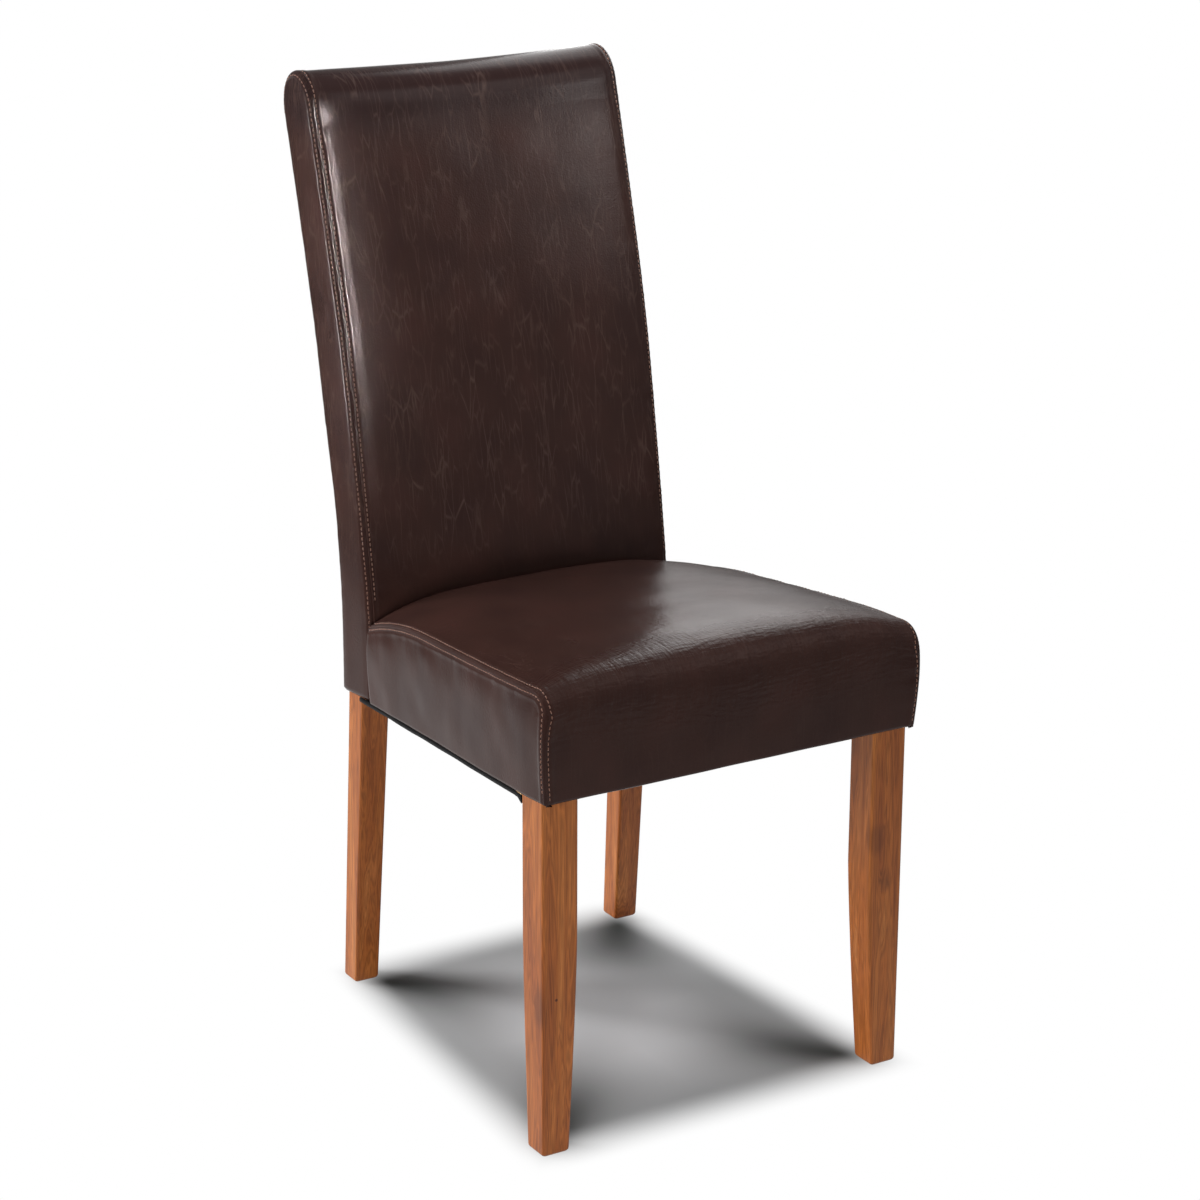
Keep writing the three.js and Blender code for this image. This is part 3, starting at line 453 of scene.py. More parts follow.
def linear(code):
    """An sRGB hex colour as linear red, green, blue and alpha."""
    parts = [int(code[i:i + 2], 16) / 255 for i in (1, 3, 5)]
    return [p / 12.92 if p <= 0.04045 else ((p + 0.055) / 1.055) ** 2.4 for p in parts] + [1]


def new_material(name, **values):
    """A material with one Principled shader, and these constant values on its sockets."""
    material = bpy.data.materials.new(name)
    material.use_nodes = True
    tree = material.node_tree
    shader = tree.nodes["Principled BSDF"]
    for key, value in values.items():
        shader.inputs[key.replace("_", " ")].default_value = value
    return material, tree, shader


def finish_surface(tree, shader, colour, height, strength, depth):
    """Feeds the shader its colour, and bumps its surface by the height, in these millimetres."""
    bump = add(tree, "Bump", {"Strength": strength, "Distance": depth * MM, "Height": height})
    tree.links.new(colour, shader.inputs["Base Color"])
    tree.links.new(bump, shader.inputs["Normal"])


def ramp(tree, source, stops):
    """A colour ramp over a value, from (place, colour) stops."""
    colour = add(tree, "ValToRGB", {0: source})
    elements = colour.node.color_ramp.elements
    while len(elements) < len(stops):
        elements.new(0.5)
    for element, (at, stop) in zip(elements, stops):
        element.position = at
        element.color = stop
    return colour


BLACK, WHITE = linear("#000000"), linear("#ffffff")


def leather_material():
    """Coated leather, embossed with a fine pebble grain and polished: a dark chocolate colour
    with thin, lighter creases that run mostly up and down and branch, and a soft, broken gloss."""
    dark, middle, red = linear("#2f1e1b"), linear("#33211d"), linear("#37231f")
    crease_wear_and_sheen, rolled = linear("#5f4c45"), linear("#261a1a")
    material, tree, shader = new_material("coated_leather", IOR=1.5, Specular_IOR_Level=0.1,
                                          Specular_Tint=(1.0, 0.92, 0.9, 1.0))
    cut = add(tree, "Attribute", {}, "Vector", attribute_name="cut")
    wrinkled = add(tree, "SeparateXYZ", {0: cut}, "Z")
    coords = add(tree, "TexCoord", {}, "Object")
    height_up = add(tree, "SeparateXYZ", {0: coords}, "Z")

    def scaled(vector, wide, tall):
        """A place in units this many millimetres wide and tall."""
        scale = Vector((1 / wide, 1 / tall, 1 / wide))
        return add(tree, "VectorMath", {0: vector, 1: scale}, operation="MULTIPLY")

    def noise(wide, tall, detail=3.0, output=0):
        """Noise with features this many millimetres wide and tall."""
        place_on_cut = scaled(cut, wide, tall)
        return add(tree, "TexNoise", {"Vector": place_on_cut, "Scale": 1, "Detail": detail}, output)

    def crease_net(wide, tall, warp, width, shown_from, patch):
        """A net of thin lines, the borders of warped, stretched cells, left out in patches."""
        shift = add(tree, "VectorMath", {0: noise(wide, tall * 0.6, 2.0, 1), "Scale": warp},
                    operation="SCALE")
        moved = add(tree, "VectorMath", {0: cut, 1: shift}, operation="ADD")
        cells = add(tree, "TexVoronoi", {"Vector": scaled(moved, wide, tall), "Scale": 1}, "Distance",
                    feature="DISTANCE_TO_EDGE")
        lines = ramp(tree, cells, [(0, WHITE), (width / wide, BLACK)])
        patches = noise(patch, patch * 2.5, 2.0)
        shown = ramp(tree, patches, [(shown_from, BLACK), (shown_from + 0.2, WHITE)])
        return combine(tree, "MULTIPLY", lines, shown)

    fine_creases = combine(tree, "MULTIPLY", crease_net(6, 44, 3, 0.45, 0.42, 22), 0.75)
    creases = combine(tree, "MAXIMUM", crease_net(13, 85, 6, 0.5, 0.45, 30), fine_creases)
    # The seat's creases are pressed flat, so they are weak below the height of its top.
    above_seat = add(tree, "MapRange", {0: height_up, "From Min": 0.49, "From Max": 0.56, "To Min": 0.14})
    creases = combine(tree, "MULTIPLY", creases, above_seat)
    tone = ramp(tree, noise(70, 90, 2.0), [(0.34, dark), (0.5, middle), (0.66, red)])
    # Painted shade: the leather over the rolled top is coloured darker and cooler, by height.
    tone = mixed(tree, smooth_range(tree, height_up, 0.935, 0.985, 0, 0.75), tone, rolled)
    # The creases are coloured lighter: partly wear of the coating, partly painted sheen on their edges.
    colour = mixed(tree, combine(tree, "MULTIPLY", creases, 0.36), tone, crease_wear_and_sheen)
    # The grain is drawn 1.6 mm wide: a real pebble of 0.6 mm would be finer than the picture.
    pebbles = add(tree, "TexVoronoi", {"Vector": cut, "Scale": 1 / 1.6}, "Distance", feature="SMOOTH_F1")
    # The relief in millimetres: pebbles, creases, soft swells on the back, and wrinkles where the
    # third part of the place on the cut asks for them
    height = combine(tree, "MULTIPLY", pebbles, -0.09)
    wrinkles = combine(tree, "ADD", noise(3.2, 17), noise(17, 4.5))
    for relief, depth, where in ((creases, -0.03, 1), (noise(9, 22, 1.0), 0.05, above_seat),
                                 (wrinkles, 1.1, wrinkled)):
        part = combine(tree, "MULTIPLY", combine(tree, "MULTIPLY", relief, depth), where)
        height = combine(tree, "ADD", height, part)
    finish_surface(tree, shader, colour, height, 1, 1)
    gloss = add(tree, "MapRange", {0: noise(30, 40), "To Min": 0.2, "To Max": 0.28})
    scuffed = combine(tree, "ADD", gloss, combine(tree, "MULTIPLY", wrinkled, 0.08))
    tree.links.new(scuffed, shader.inputs["Roughness"])
    return material


def thread_material():
    """Bonded polyester thread, twisted: a reddish tan with a soft sheen."""
    material, tree, shader = new_material("twisted_thread", Roughness=0.6, Sheen_Weight=0.3)
    coords = add(tree, "TexCoord", {}, "Object")
    twist = add(tree, "TexWave", {"Vector": coords, "Scale": 1 / (1.2 * MM)}, "Fac",
                bands_direction="DIAGONAL")
    colour = ramp(tree, twist, [(0.2, linear("#6b4736")), (0.8, linear("#9a6e5c"))])
    finish_surface(tree, shader, colour, twist, 0.5, 0.2)
    return material


def wood_material(name, seed, painted_lightness, blemishes):
    """Stained and satin-lacquered hardwood, sawn with the grain along the leg: honey brown with
    fine darker pores and wider soft figure. A factor makes the stain lighter or darker for each leg:
    painted light, for how brightly that leg is lit. A blemish is a dark spot or a soft patch: its
    place, radius, height over width and strength."""
    material, tree, shader = new_material(name, Roughness=0.4, Specular_IOR_Level=0.25, Coat_Weight=0.1,
                                          Coat_Roughness=0.25)
    coords = add(tree, "TexCoord", {}, "Object")
    shifted = add(tree, "Mapping", {"Vector": coords, "Location": (seed * 1.7, seed * 0.9, seed * 2.3)})

    def grain(across, along, detail, warp=0.0):
        """Noise in streaks this wide and this long, in millimetres."""
        scale = Vector((1 / (across * MM), 1 / (across * MM), 1 / (along * MM)))
        streaks = add(tree, "VectorMath", {0: shifted, 1: scale}, operation="MULTIPLY")
        settings = {"Scale": 1, "Detail": detail, "Distortion": warp}
        return add(tree, "TexNoise", {"Vector": streaks, **settings})

    figure = grain(16, 260, 3.0, 0.8)
    rings = combine(tree, "PINGPONG", combine(tree, "MULTIPLY", figure, 13), 0.5)
    rings = ramp(tree, rings, [(0.05, BLACK), (0.5, WHITE)])
    stain = [(at, [painted_lightness * part for part in linear(code)[:3]] + [1])
             for at, code in ((0.3, "#864822"), (0.5, "#9d5a2b"), (0.72, "#b06d39"))]
    tone = ramp(tree, figure, stain)
    pores = ramp(tree, grain(0.9, 26, 2.0), [(0.3, linear("#8a7468")), (0.55, WHITE)])
    colour = mixed(tree, 0.34, tone, rings, "MULTIPLY")
    colour = mixed(tree, 0.32, colour, pores, "MULTIPLY")
    for spot, radius, tall, strength in blemishes:
        squeeze = Vector((1, 1, 1 / tall))
        squeezed = add(tree, "VectorMath", {0: coords, 1: squeeze}, operation="MULTIPLY")
        away = add(tree, "VectorMath", {0: squeezed, 1: Vector(spot) * squeeze}, "Value",
                   operation="DISTANCE")
        share = smooth_range(tree, away, radius * MM, 0.4 * radius * MM, 0, strength)
        colour = mixed(tree, share, colour, linear("#3a1a0f"))
    finish_surface(tree, shader, colour, grain(1.1, 30, 3.0), 0.25, 0.15)
    return material


def simple_material(name, dark, light, size, rough, bump_depth, **values):
    """A plain finish broken by noise of one size: between two colours, with a matching bump."""
    material, tree, shader = new_material(name, Roughness=rough, **values)
    coords = add(tree, "TexCoord", {}, "Object")
    noise = add(tree, "TexNoise", {"Vector": coords, "Scale": 1 / (size * MM), "Detail": 4})
    colour = ramp(tree, noise, [(0.35, linear(dark)), (0.65, linear(light))])
    finish_surface(tree, shader, colour, noise, 0.6, bump_depth)
    return material


leather = leather_material()
thread = thread_material()
# Sawn pine or rubberwood, unfinished: pale, with a fuzzy sawn surface
raw_wood = simple_material("sawn_softwood", "#b08a5c", "#cfae80", 6, 0.75, 0.15)
# Zinc-plated steel: cool grey, finely mottled
zinc = simple_material("zinc_plated_steel", "#8d9298", "#b9bdc2", 2, 0.35, 0.02, Metallic=1.0)
# Woven elastic webbing: off-white, coarse
webbing = simple_material("woven_webbing", "#8f8468", "#c2b797", 1.5, 0.85, 0.3)
# Cut polyurethane foam: pale yellow, open cells
foam = simple_material("cut_foam", "#d8c48a", "#ead9a6", 3, 0.9, 0.4)
# Polyester wadding: white, fibrous
wadding = simple_material("polyester_wadding", "#d9d9d6", "#f2f2ef", 5, 0.95, 0.6)
# Spun-bonded polypropylene cloth: black, finely felted. Its near-black colour also paints the shade under
# the cover's hem.
dust_cloth_hem_shade = simple_material("spun_bonded_cloth", "#070708", "#0d0d0e", 1.2, 0.8, 0.12)


def turned_edge(distance):
    """How far a panel's edge drops into its seam: a quarter circle."""
    return -round_fall(distance, EDGE_TURN)


def twin_seam(distance, along, ridge_height=RIDGE):
    """Relief of a panel beside a twin-needle seam: the edge turns in, the folded allowance makes a
    ridge that is lower at each stitch, the thread pulls a groove into it, and the foam swells
    beyond. Ridge, groove and swell are bells across the seam; the stitches are a cosine along it."""
    beat = np.cos(2 * np.pi * along / STITCH_PITCH)
    pull = 0.72 + 0.28 * beat
    ridge = ridge_height * (1 - 0.45 * beat) * bell(distance, *RIDGE_PLACE)
    groove = -GROOVE * bell(distance, STITCH_OFFSET, GROOVE_WIDTH) * pull
    swell = SWELL * bell(distance, *SWELL_PLACE)
    return turned_edge(distance) + ridge + groove + swell


def plain_seam(distance):
    """Relief beside a seam that isn't top-stitched: the edge turns in and the foam swells."""
    return 1.2 * turned_edge(distance) + 0.4 * bell(distance, 6, 4)


def puckers(distance, along, seed, depth=0.35, pitch=13, reach=16):
    """Small folds that run from a seam into the panel and die out. A panel's two seams read the noise
    some hundred millimetres apart, so that their folds differ."""
    fold = value_noise(along / pitch, distance * 0 + seed * 1.7, seed)
    fold += 0.5 * value_noise(along / pitch * 2.3, distance / 40, seed + 5)
    return depth * fold * np.exp(-distance / reach) * smooth_step(distance / 5)


def dents(x, y, seed, depth, size):
    """Soft, wide unevenness of leather over hand-fitted foam."""
    return depth * layered_noise(x / size, y / size, seed, 2)


def back_crown(from_edge):
    """How far the back's front panel stands forward of its seams, at a distance from the nearer
    one: a quarter ellipse beside the seam and a shallow bow over the whole width."""
    edge = EDGE_CROWN - round_fall(from_edge, EDGE_CROWN_WIDTH) * (EDGE_CROWN / EDGE_CROWN_WIDTH)
    return edge + MIDDLE_CROWN * (1 - (1 - from_edge / BACK_HALF) ** MIDDLE_CROWN_POWER)


def back_front_rows():
    """The back's front panel in the side view, row by row from the foot up the front, over the roll
    and down to the rear seam: each row's (depth, height), how far along the panel it lies, and the
    share of the crown that it has. Where the roll starts, the outline is averaged over a bell, and
    just below that the panel leans back a little."""
    front_z = np.linspace(PANEL_FOOT, ROLL_CENTRE + ROLL_HALF * math.sin(LEAN), 200)
    front = np.stack([back_seam(front_z), front_z], axis=-1)
    roll = roll_outline(np.linspace(0, np.pi, 120))[1:-1]
    rear_z = np.linspace(ROLL_START, ROLL_CENTRE - REAR_SEAM_DROP, 12)
    rear = np.stack([back_rear(rear_z), rear_z], axis=-1)
    outline = np.concatenate([front, roll, rear])
    total = run_length(outline)[-1]
    along = seam_spaced(total, first_seam=False, last_seam=True, step=3)
    rows = resample(outline, along)
    spread = np.linspace(-2, 2, 17)
    weight = np.exp(-spread**2)[:, None, None]
    eased = resample(outline, np.clip(along + ROLL_EASE * spread[:, None], 0, total))
    eased = (eased * weight).sum(axis=0) / weight.sum()
    in_front = rows[:, 0] < back_rear(rows[:, 1]) - BACK_THICKNESS / 2
    near_start = bell(rows[:, 1], ROLL_START, 2.2 * ROLL_EASE) * in_front
    rows = lerp(rows, eased, near_start[:, None])
    below = np.clip(1 - (ROLL_START - rows[:, 1]) / TOP_LEAN_HEIGHT, 0, 1) ** 2
    above = np.clip(1 - (rows[:, 1] - ROLL_START) / (CHAIR_HEIGHT - ROLL_START), 0, 1)
    before_top = np.arange(len(rows)) < np.argmax(rows[:, 1])
    rows[:, 0] += TOP_LEAN * below * smooth_step(above) * before_top
    rear_outline = outline[np.argmax(outline[:, 1]):][::-1]
    chord = np.interp(rows[:, 1], rear_outline[:, 1], rear_outline[:, 0]) - rows[:, 0]
    on_roll = np.clip(chord / (BACK_THICKNESS - WAIST_THINNING), 0, 1)
    crowned = before_top * np.where(rows[:, 1] < ROLL_START, 1, on_roll)
    return rows, along, crowned


def back_front_surface():
    """The back's front panel over the rolled top. Each row crosses the back at one place of the
    side view. Its points are spaced by their distance from the side seams, along the crowned
    surface, and stand forward by the crown; on the roll they sag towards the middle."""
    rows, along, crowned = back_front_rows()
    near = EDGE_CROWN_WIDTH * (1 - np.cos(np.linspace(0, np.pi / 2, 60)))
    dense = np.concatenate([near, np.linspace(EDGE_CROWN_WIDTH, BACK_HALF, 60)[1:]])
    crown = back_crown(dense)
    half = []
    for share in crowned:
        run = run_length(np.stack([dense, crown * share], axis=-1))
        at = np.interp(half_spaced(run[-1], BACK_COLUMNS), run, dense)
        half.append(SEAM_IN + at * (1 - SEAM_IN / BACK_HALF))
    from_edge = np.array(half)
    x = np.concatenate([from_edge - BACK_HALF, (BACK_HALF - from_edge)[:, -2::-1]], axis=1)
    edge = BACK_HALF - SEAM_IN - np.abs(x)
    rise = np.clip((rows[:, 1] - ROLL_START) / (CHAIR_HEIGHT - ROLL_START), 0, 1)
    sag = ROLL_SAG * rise[:, None] * (1 - (x / BACK_HALF) ** 2)
    base = np.stack([x, rows[:, :1] - back_crown(edge) * crowned[:, None], rows[:, 1:] - sag], axis=-1)
    from_seam = half_spaced(BACK_HALF, BACK_COLUMNS)
    from_seam = np.concatenate([from_seam, from_seam[-2::-1]])[None, :] + 0 * x
    along_row = along[:, None] + 0 * x
    relief = twin_seam(from_seam, along_row, BACK_RIDGE)
    relief += puckers(from_seam, along_row + 500 * (x > 0), seed=11)
    relief += plain_seam(along[-1] - along_row) * (from_seam > EDGE_TURN)
    relief += dents(x, along_row, seed=21, depth=0.7, size=95) * smooth_step(from_seam / SEAM_CALM)
    outer = base + relief[..., None] * grid_normals(base)
    return outer, np.stack([x, along_row, 0 * x], axis=-1)


def back_rear_surface():
    """The back's rear panel, from the hem up to the rear seam: each row crosses the back at one
    height, with its two ends rounded towards the boxing."""
    top = ROLL_CENTRE - REAR_SEAM_DROP
    low = hem(SEAT_DEPTH + BACK_THICKNESS)
    along = seam_spaced(top - low, first_seam=False, last_seam=True)
    z = low + along
    width = seam_spaced(2 * BACK_HALF, step=6)
    x = (width - BACK_HALF)[None, ::-1] + 0 * z[:, None]
    edge = BACK_HALF - np.abs(x)
    depth = back_rear(z)[:, None] - round_fall(edge, REAR_EDGE_RADIUS)
    base = np.stack([x, depth, z[:, None] + 0 * x], axis=-1)
    along_row = along[:, None] + 0 * x
    relief = plain_seam(edge) + plain_seam(top - low - along_row) * (edge > EDGE_TURN)
    relief -= round_fall(along_row, HEM_TURN)
    relief += dents(x, along_row, seed=31, depth=0.9, size=110) * smooth_step(edge / SEAM_CALM)
    relief += puckers(edge, along_row, seed=33, depth=0.4)
    outer = base + relief[..., None] * grid_normals(base)
    return outer, np.stack([x, along_row, 0 * x], axis=-1)


def boxing_surface(side):
    """The back's side strip. Its rows run from the edge to the spine of the strip, the line halfway
    between front and rear: up the front, in a fan around the roll's centre, and down the rear."""
    spine_z = np.linspace(hem(SEAT_DEPTH + BACK_THICKNESS / 2), ROLL_CENTRE, 190)
    rise = (spine_z - spine_z[0]) / (ROLL_CENTRE - spine_z[0])
    skew = lerp(HEM_SLOPE * BACK_THICKNESS / 2, ROLL_HALF * math.sin(LEAN), rise)
    front = np.stack([back_seam(spine_z + skew), spine_z + skew], axis=-1)
    rear = np.stack([back_rear(spine_z - skew), spine_z - skew], axis=-1)
    roll = roll_outline(np.linspace(0, np.pi, 60))[1:-1]
    spine = np.stack([(front[:, 0] + rear[:, 0]) / 2, spine_z], axis=-1)
    edge = np.concatenate([front, roll, rear[::-1]])
    middle = np.concatenate([spine, spine[-1:] + 0 * roll, spine[::-1]])
    along = run_length(edge)
    reach = np.linalg.norm(middle - edge, axis=1)[:, None]
    near = SEAM_STEPS / SEAM_STEPS[-1] * BOXING_SEAM_SHARE
    steps = np.concatenate([near, np.linspace(BOXING_SEAM_SHARE, 1, 8)[1:]])
    inward = reach * steps[None, :]
    direction = (middle - edge) / reach
    flat = edge[:, None, :] + direction[:, None, :] * inward[..., None]
    out = BACK_HALF + BOXING_BULGE - round_fall(inward, BOXING_ROUND) * (BOXING_TURN / BOXING_ROUND)
    along_row = along[:, None] + 0 * inward
    at_front = along_row < along[len(front) + len(roll)]
    relief = np.where(at_front, twin_seam(inward, along_row, BACK_RIDGE), plain_seam(inward))
    to_hem = flat[..., 1] - hem(flat[..., 0])
    relief -= round_fall(to_hem, HEM_TURN)
    fade = np.sin(np.pi * np.clip(inward / reach, 0, 1) / 2)
    folds = puckers(inward, along_row + 300 * side, seed=41, depth=0.3)
    relief += folds * (1 - smooth_step(inward / reach))
    relief += dents(flat[..., 0], flat[..., 1] + 900 * side, seed=43, depth=0.6, size=80) * fade
    outer = np.stack([side * (out + relief), flat[..., 0], flat[..., 1]], axis=-1)
    cut = np.stack([flat[..., 0], flat[..., 1], 0 * inward], axis=-1)
    return (outer, cut) if side > 0 else (outer[::-1], cut[::-1])


def eased_quarter(count):
    """A quarter turn whose curvature grows from nothing and dies out again, so that its gloss has
    no edge: how far it has come forward and down, each from 0 to 1."""
    steps = np.arange(400)
    angle = smooth_step(steps / steps[-1]) * np.pi / 2
    at = np.linspace(0, steps[-1], count)
    ahead, down = np.cumsum(np.cos(angle)), np.cumsum(np.sin(angle))
    return np.interp(at, steps, ahead / ahead[-1]), np.interp(at, steps, down / down[-1])


def seat_half(depth):
    """Half-width of the seat's sides: straight to the front and tapering behind the legs."""
    front = LEG_SPREAD + SIDE_PADDING
    taper = (front - POST_SPREAD - REAR_SIDE_PADDING) / (SEAT_DEPTH - TAPER_START)
    return front - taper * soft_ramp(depth - TAPER_START, TAPER_BLEND)


def sink_share(depth):
    """How much of the rear sink the seat has at this depth."""
    return np.clip((depth - REAR_SINK_START) / (SEAT_DEPTH - REAR_SINK_START), 0, 1) ** 2


def seam_height(depth):
    """Height of the seat's side seams before they round over the front."""
    return SEAT_EDGE - TOP_SLOPE * depth - REAR_SINK * sink_share(depth)


def side_out(share):
    """How far the seat's side stands out of its seam, at a share of the way to the hem."""
    rounding = SEAM_INSET * (1 - (1 - share) ** SEAM_ROUND_POWER)
    bulge = SIDE_BULGE * np.sin(np.pi * share**SIDE_BULGE_POWER)
    return rounding + bulge - HEM_INSET * share**2


# The front corner's seam lies halfway round the corner.
CORNER_CUT = CORNER_RADIUS * (1 - math.sqrt(0.5))
SEAM_FRONT = CORNER_CUT - FRONT_PADDING
SEAM_ARC = EDGE_FRONT_RADIUS - CORNER_CUT
ARC_DEPTHS = SEAM_FRONT + SEAM_ARC * (1 - np.sin(np.linspace(0, np.pi / 2, 40)))
SEAM_SAMPLE = 0.6


def seam_line_half(depth):
    """Half-width of the seat at its side seam: the side's, with the front corner rounded off."""
    return seat_half(depth) - SEAM_INSET - round_fall(depth + FRONT_PADDING, CORNER_RADIUS)


def front_tuck(share, depth):
    """The front face draws back towards the hem."""
    near = 1 - np.clip((depth + FRONT_PADDING) / FRONT_TUCK_DEPTH, 0, 1)
    return FRONT_TUCK * share**2 * near


def settling(x, depth):
    """How far the seat has sunk: its middle eases down towards the front, and its right front
    corner is a little lower."""
    ease = FRONT_EASE * np.clip(1 - (depth + FRONT_PADDING) / FRONT_EASE_DEPTH, 0, 1) ** 2
    across = 1 - np.clip(np.abs(x) / BACK_HALF, 0, 1) ** 4
    wide, deep = CORNER_SINK_SPAN
    corner = CORNER_SINK * bell(x, CORNER_SINK_X, wide) * bell(depth, CORNER_SINK_DEPTH, deep)
    return ease * across + corner


def seat_top_surface():
    """The seat's top and front in one panel. Each row crosses the seat: rows climb out of the
    crevice at the back, run forward over the crown, round the front edge and go down to the hem. The
    round is a quarter circle at the sides and a wider, eased quarter turn in the middle."""
    half = seat_half(0)
    share = 1 - half_spaced(half, SEAT_COLUMNS) / half
    u = np.concatenate([share, -share[-2::-1]])[None, :]
    against_back = back_seam(REAR_LEVEL) - back_crown(BACK_HALF * (1 - np.abs(u))) - LEATHER
    rear = np.minimum(SEAT_DEPTH - REAR_GAP, against_back)
    full = (half - SEAM_INSET - CORNER_CUT) * np.abs(u)
    front = -FRONT_PADDING + round_fall(half - SEAM_INSET - full, CORNER_RADIUS)
    radius = lerp(EDGE_FRONT_RADIUS, MIDDLE_FRONT_RADIUS, 1 - u**2) - (front + FRONT_PADDING)

    def top(depth):
        """Height of the crowned top."""
        crown = SEAT_CROWN + REAR_CROWN * sink_share(depth)
        return seam_height(depth) + crown * (1 - np.abs(u) ** CROWN_POWER)

    crevice = np.linspace(0, 1, 9)[:-1, None]
    wall_top = top(rear - CREVICE_RADIUS) - CREVICE_RADIUS
    wall = [rear + 0 * crevice, wall_top - CREVICE_DEPTH * (1 - crevice)]
    angle = np.linspace(0, np.pi / 2, 12)[:-1, None]
    turn_depth = rear - CREVICE_RADIUS * (1 - np.cos(angle))
    turn = [turn_depth, top(turn_depth) - CREVICE_RADIUS * (1 - np.sin(angle))]
    run = np.linspace(0, 1, 122)[:-1, None]
    flat_depth = lerp(rear - CREVICE_RADIUS, front + radius, run)
    flat = [flat_depth, top(flat_depth)]
    ahead, down = eased_quarter(ROUND_ROWS)
    angle = np.linspace(0, np.pi / 2, ROUND_ROWS)
    at_edge = np.abs(u) ** 4
    ahead = lerp(ahead[:-1, None], np.sin(angle)[:-1, None], at_edge)
    down = lerp(down[:-1, None], 1 - np.cos(angle)[:-1, None], at_edge)
    round_depth = front + radius * (1 - ahead)
    rounded = [round_depth, top(round_depth) - radius * down]
    low = np.linspace(0, 1, 40)[:, None]
    face_top = top(front) - radius
    face = [front + front_tuck(low, front), lerp(face_top, hem(front), low)]
    depth = np.concatenate([part[0] + 0 * u for part in (wall, turn, flat, rounded, face)])
    z = np.concatenate([part[1] for part in (wall, turn, flat, rounded, face)])
    face_rows = len(depth) - len(low)
    edge_half = seam_line_half(np.maximum(depth[:, :1], SEAM_FRONT))
    edge_half[face_rows:] = half - SEAM_INSET - CORNER_CUT + side_out(low)
    edge_half[:face_rows] += side_out(0)
    x = u * edge_half
    z = z - settling(x, depth) * np.clip((z - hem(depth)) / SETTLING_FADE, 0, 1)
    base = np.stack([x, depth, z], axis=-1)
    along = run_length(base[:, u.shape[1] // 2])
    edge_along = run_length(base[:, 0])
    from_seam = half * (1 - np.abs(u)) + 0 * x
    along_row = edge_along[:, None] + 0 * x
    relief = twin_seam(from_seam, along_row)
    relief += puckers(from_seam, along_row + 700 * (x > 0), seed=51, depth=0.5)
    relief -= round_fall(edge_along[-1] - along_row, HEM_TURN) * (from_seam > EDGE_TURN)
    relief += dents(x, along_row, seed=53, depth=1.3, size=85) * smooth_step(from_seam / SEAM_CALM)
    face_start = edge_along[face_rows]
    waterfall = bell(along_row, face_start - WATERFALL_RISE, WATERFALL_SPAN)
    creased = np.maximum(waterfall, TOP_CREASED * (along_row < face_start))
    folds = value_noise(x / 6.5, along_row / 50, 57) + 0.6 * value_noise(x / 3.4, along_row / 30, 58)
    folds *= 0.6 + 0.5 * value_noise(x / 30, along_row / 40, 59)
    relief += 0.4 * folds * waterfall * smooth_step(from_seam / 25)
    outer = base + relief[..., None] * grid_normals(base)
    return outer, np.stack([x, along[:, None] + 0 * x, creased], axis=-1)


def side_seam_line():
    """The seat's side seam in the side view, in even steps: forward from the rear edge, round the
    front edge and down the corner to the hem."""
    straight = np.linspace(SEAT_DEPTH - REAR_GAP, ARC_DEPTHS[0], 200)[:-1]
    depth = np.concatenate([straight, ARC_DEPTHS])
    down = np.linspace(side_top(SEAM_FRONT), hem(SEAM_FRONT), 60)[1:]
    line = np.concatenate([np.stack([depth, side_top(depth)], axis=-1),
                           np.stack([0 * down + SEAM_FRONT, down], axis=-1)])
    return resample(line, np.arange(0, run_length(line)[-1], SEAM_SAMPLE))


def side_top(depth):
    """Height of the side seam at a depth, falling round the front edge."""
    return seam_height(depth) - round_fall(depth - SEAM_FRONT, SEAM_ARC)


def side_place(side, depth, z, seam):
    """Points of the seat's side from their place in the side view: the half-width there, the
    settling of the seat, and a relief that follows each point's distance from the seam line."""
    share = np.clip((side_top(depth) - z) / (side_top(depth) - hem(depth)), 0, 1)
    gaps = np.hypot(depth[..., None] - seam[:, 0], z[..., None] - seam[:, 1])
    from_seam = gaps.min(-1)
    from_seam = from_seam * smooth_step(from_seam / SEAM_SAMPLE)
    along = gaps.argmin(-1) * SEAM_SAMPLE
    relief = twin_seam(from_seam, along) + puckers(from_seam, along + 200 * side, seed=61, depth=0.45)
    relief -= round_fall(z - hem(depth), HEM_TURN)
    unevenness = dents(depth + 1000 * side, z, seed=63, depth=1.3, size=62)
    relief += unevenness * smooth_step(from_seam / SEAM_CALM)
    relief += 0.16 * layered_noise(depth / 38, z / 90, 66 + side) * smooth_step(share * 3)
    rear_fall = round_fall(SEAT_DEPTH - REAR_GAP - depth, TURN_IN_RADIUS)
    half = seam_line_half(np.maximum(depth, SEAM_FRONT)) + side_out(share) - rear_fall
    settled = z - settling(side * CORNER_SINK_X, depth) * (1 - share)
    return np.stack([side * (half + relief), depth + front_tuck(share, depth), settled], axis=-1)


def seat_side_surface(side):
    """The seat's side panel as a height map over the side view: columns from the rear edge to the
    front seam, rows from the top seam to the hem."""
    near = ARC_DEPTHS[0] + np.linspace(0, 14, 8)[1:][::-1]
    rear = SEAT_DEPTH - REAR_GAP - np.array([0, 0.3, 0.8, 1.5, 2.4, 3.5, 5, 7, 9])
    count = int((rear[-1] - near[0]) / EVEN_STEP)
    even = np.linspace(rear[-1], near[0], count + 1)[1:-1]
    depth = np.concatenate([rear, even, near, ARC_DEPTHS])
    height = SEAT_EDGE - HEM_HEIGHT
    share = seam_spaced(height, last_seam=False, step=2.6)[:, None] / height
    y = depth[None, :] + 0 * share
    z = lerp(side_top(y), hem(y), share)
    outer = side_place(side, y, z, side_seam_line())
    cut = np.stack([y, -z, 0 * z], axis=-1)
    return (outer, cut) if side > 0 else (outer[:, ::-1], cut[:, ::-1])


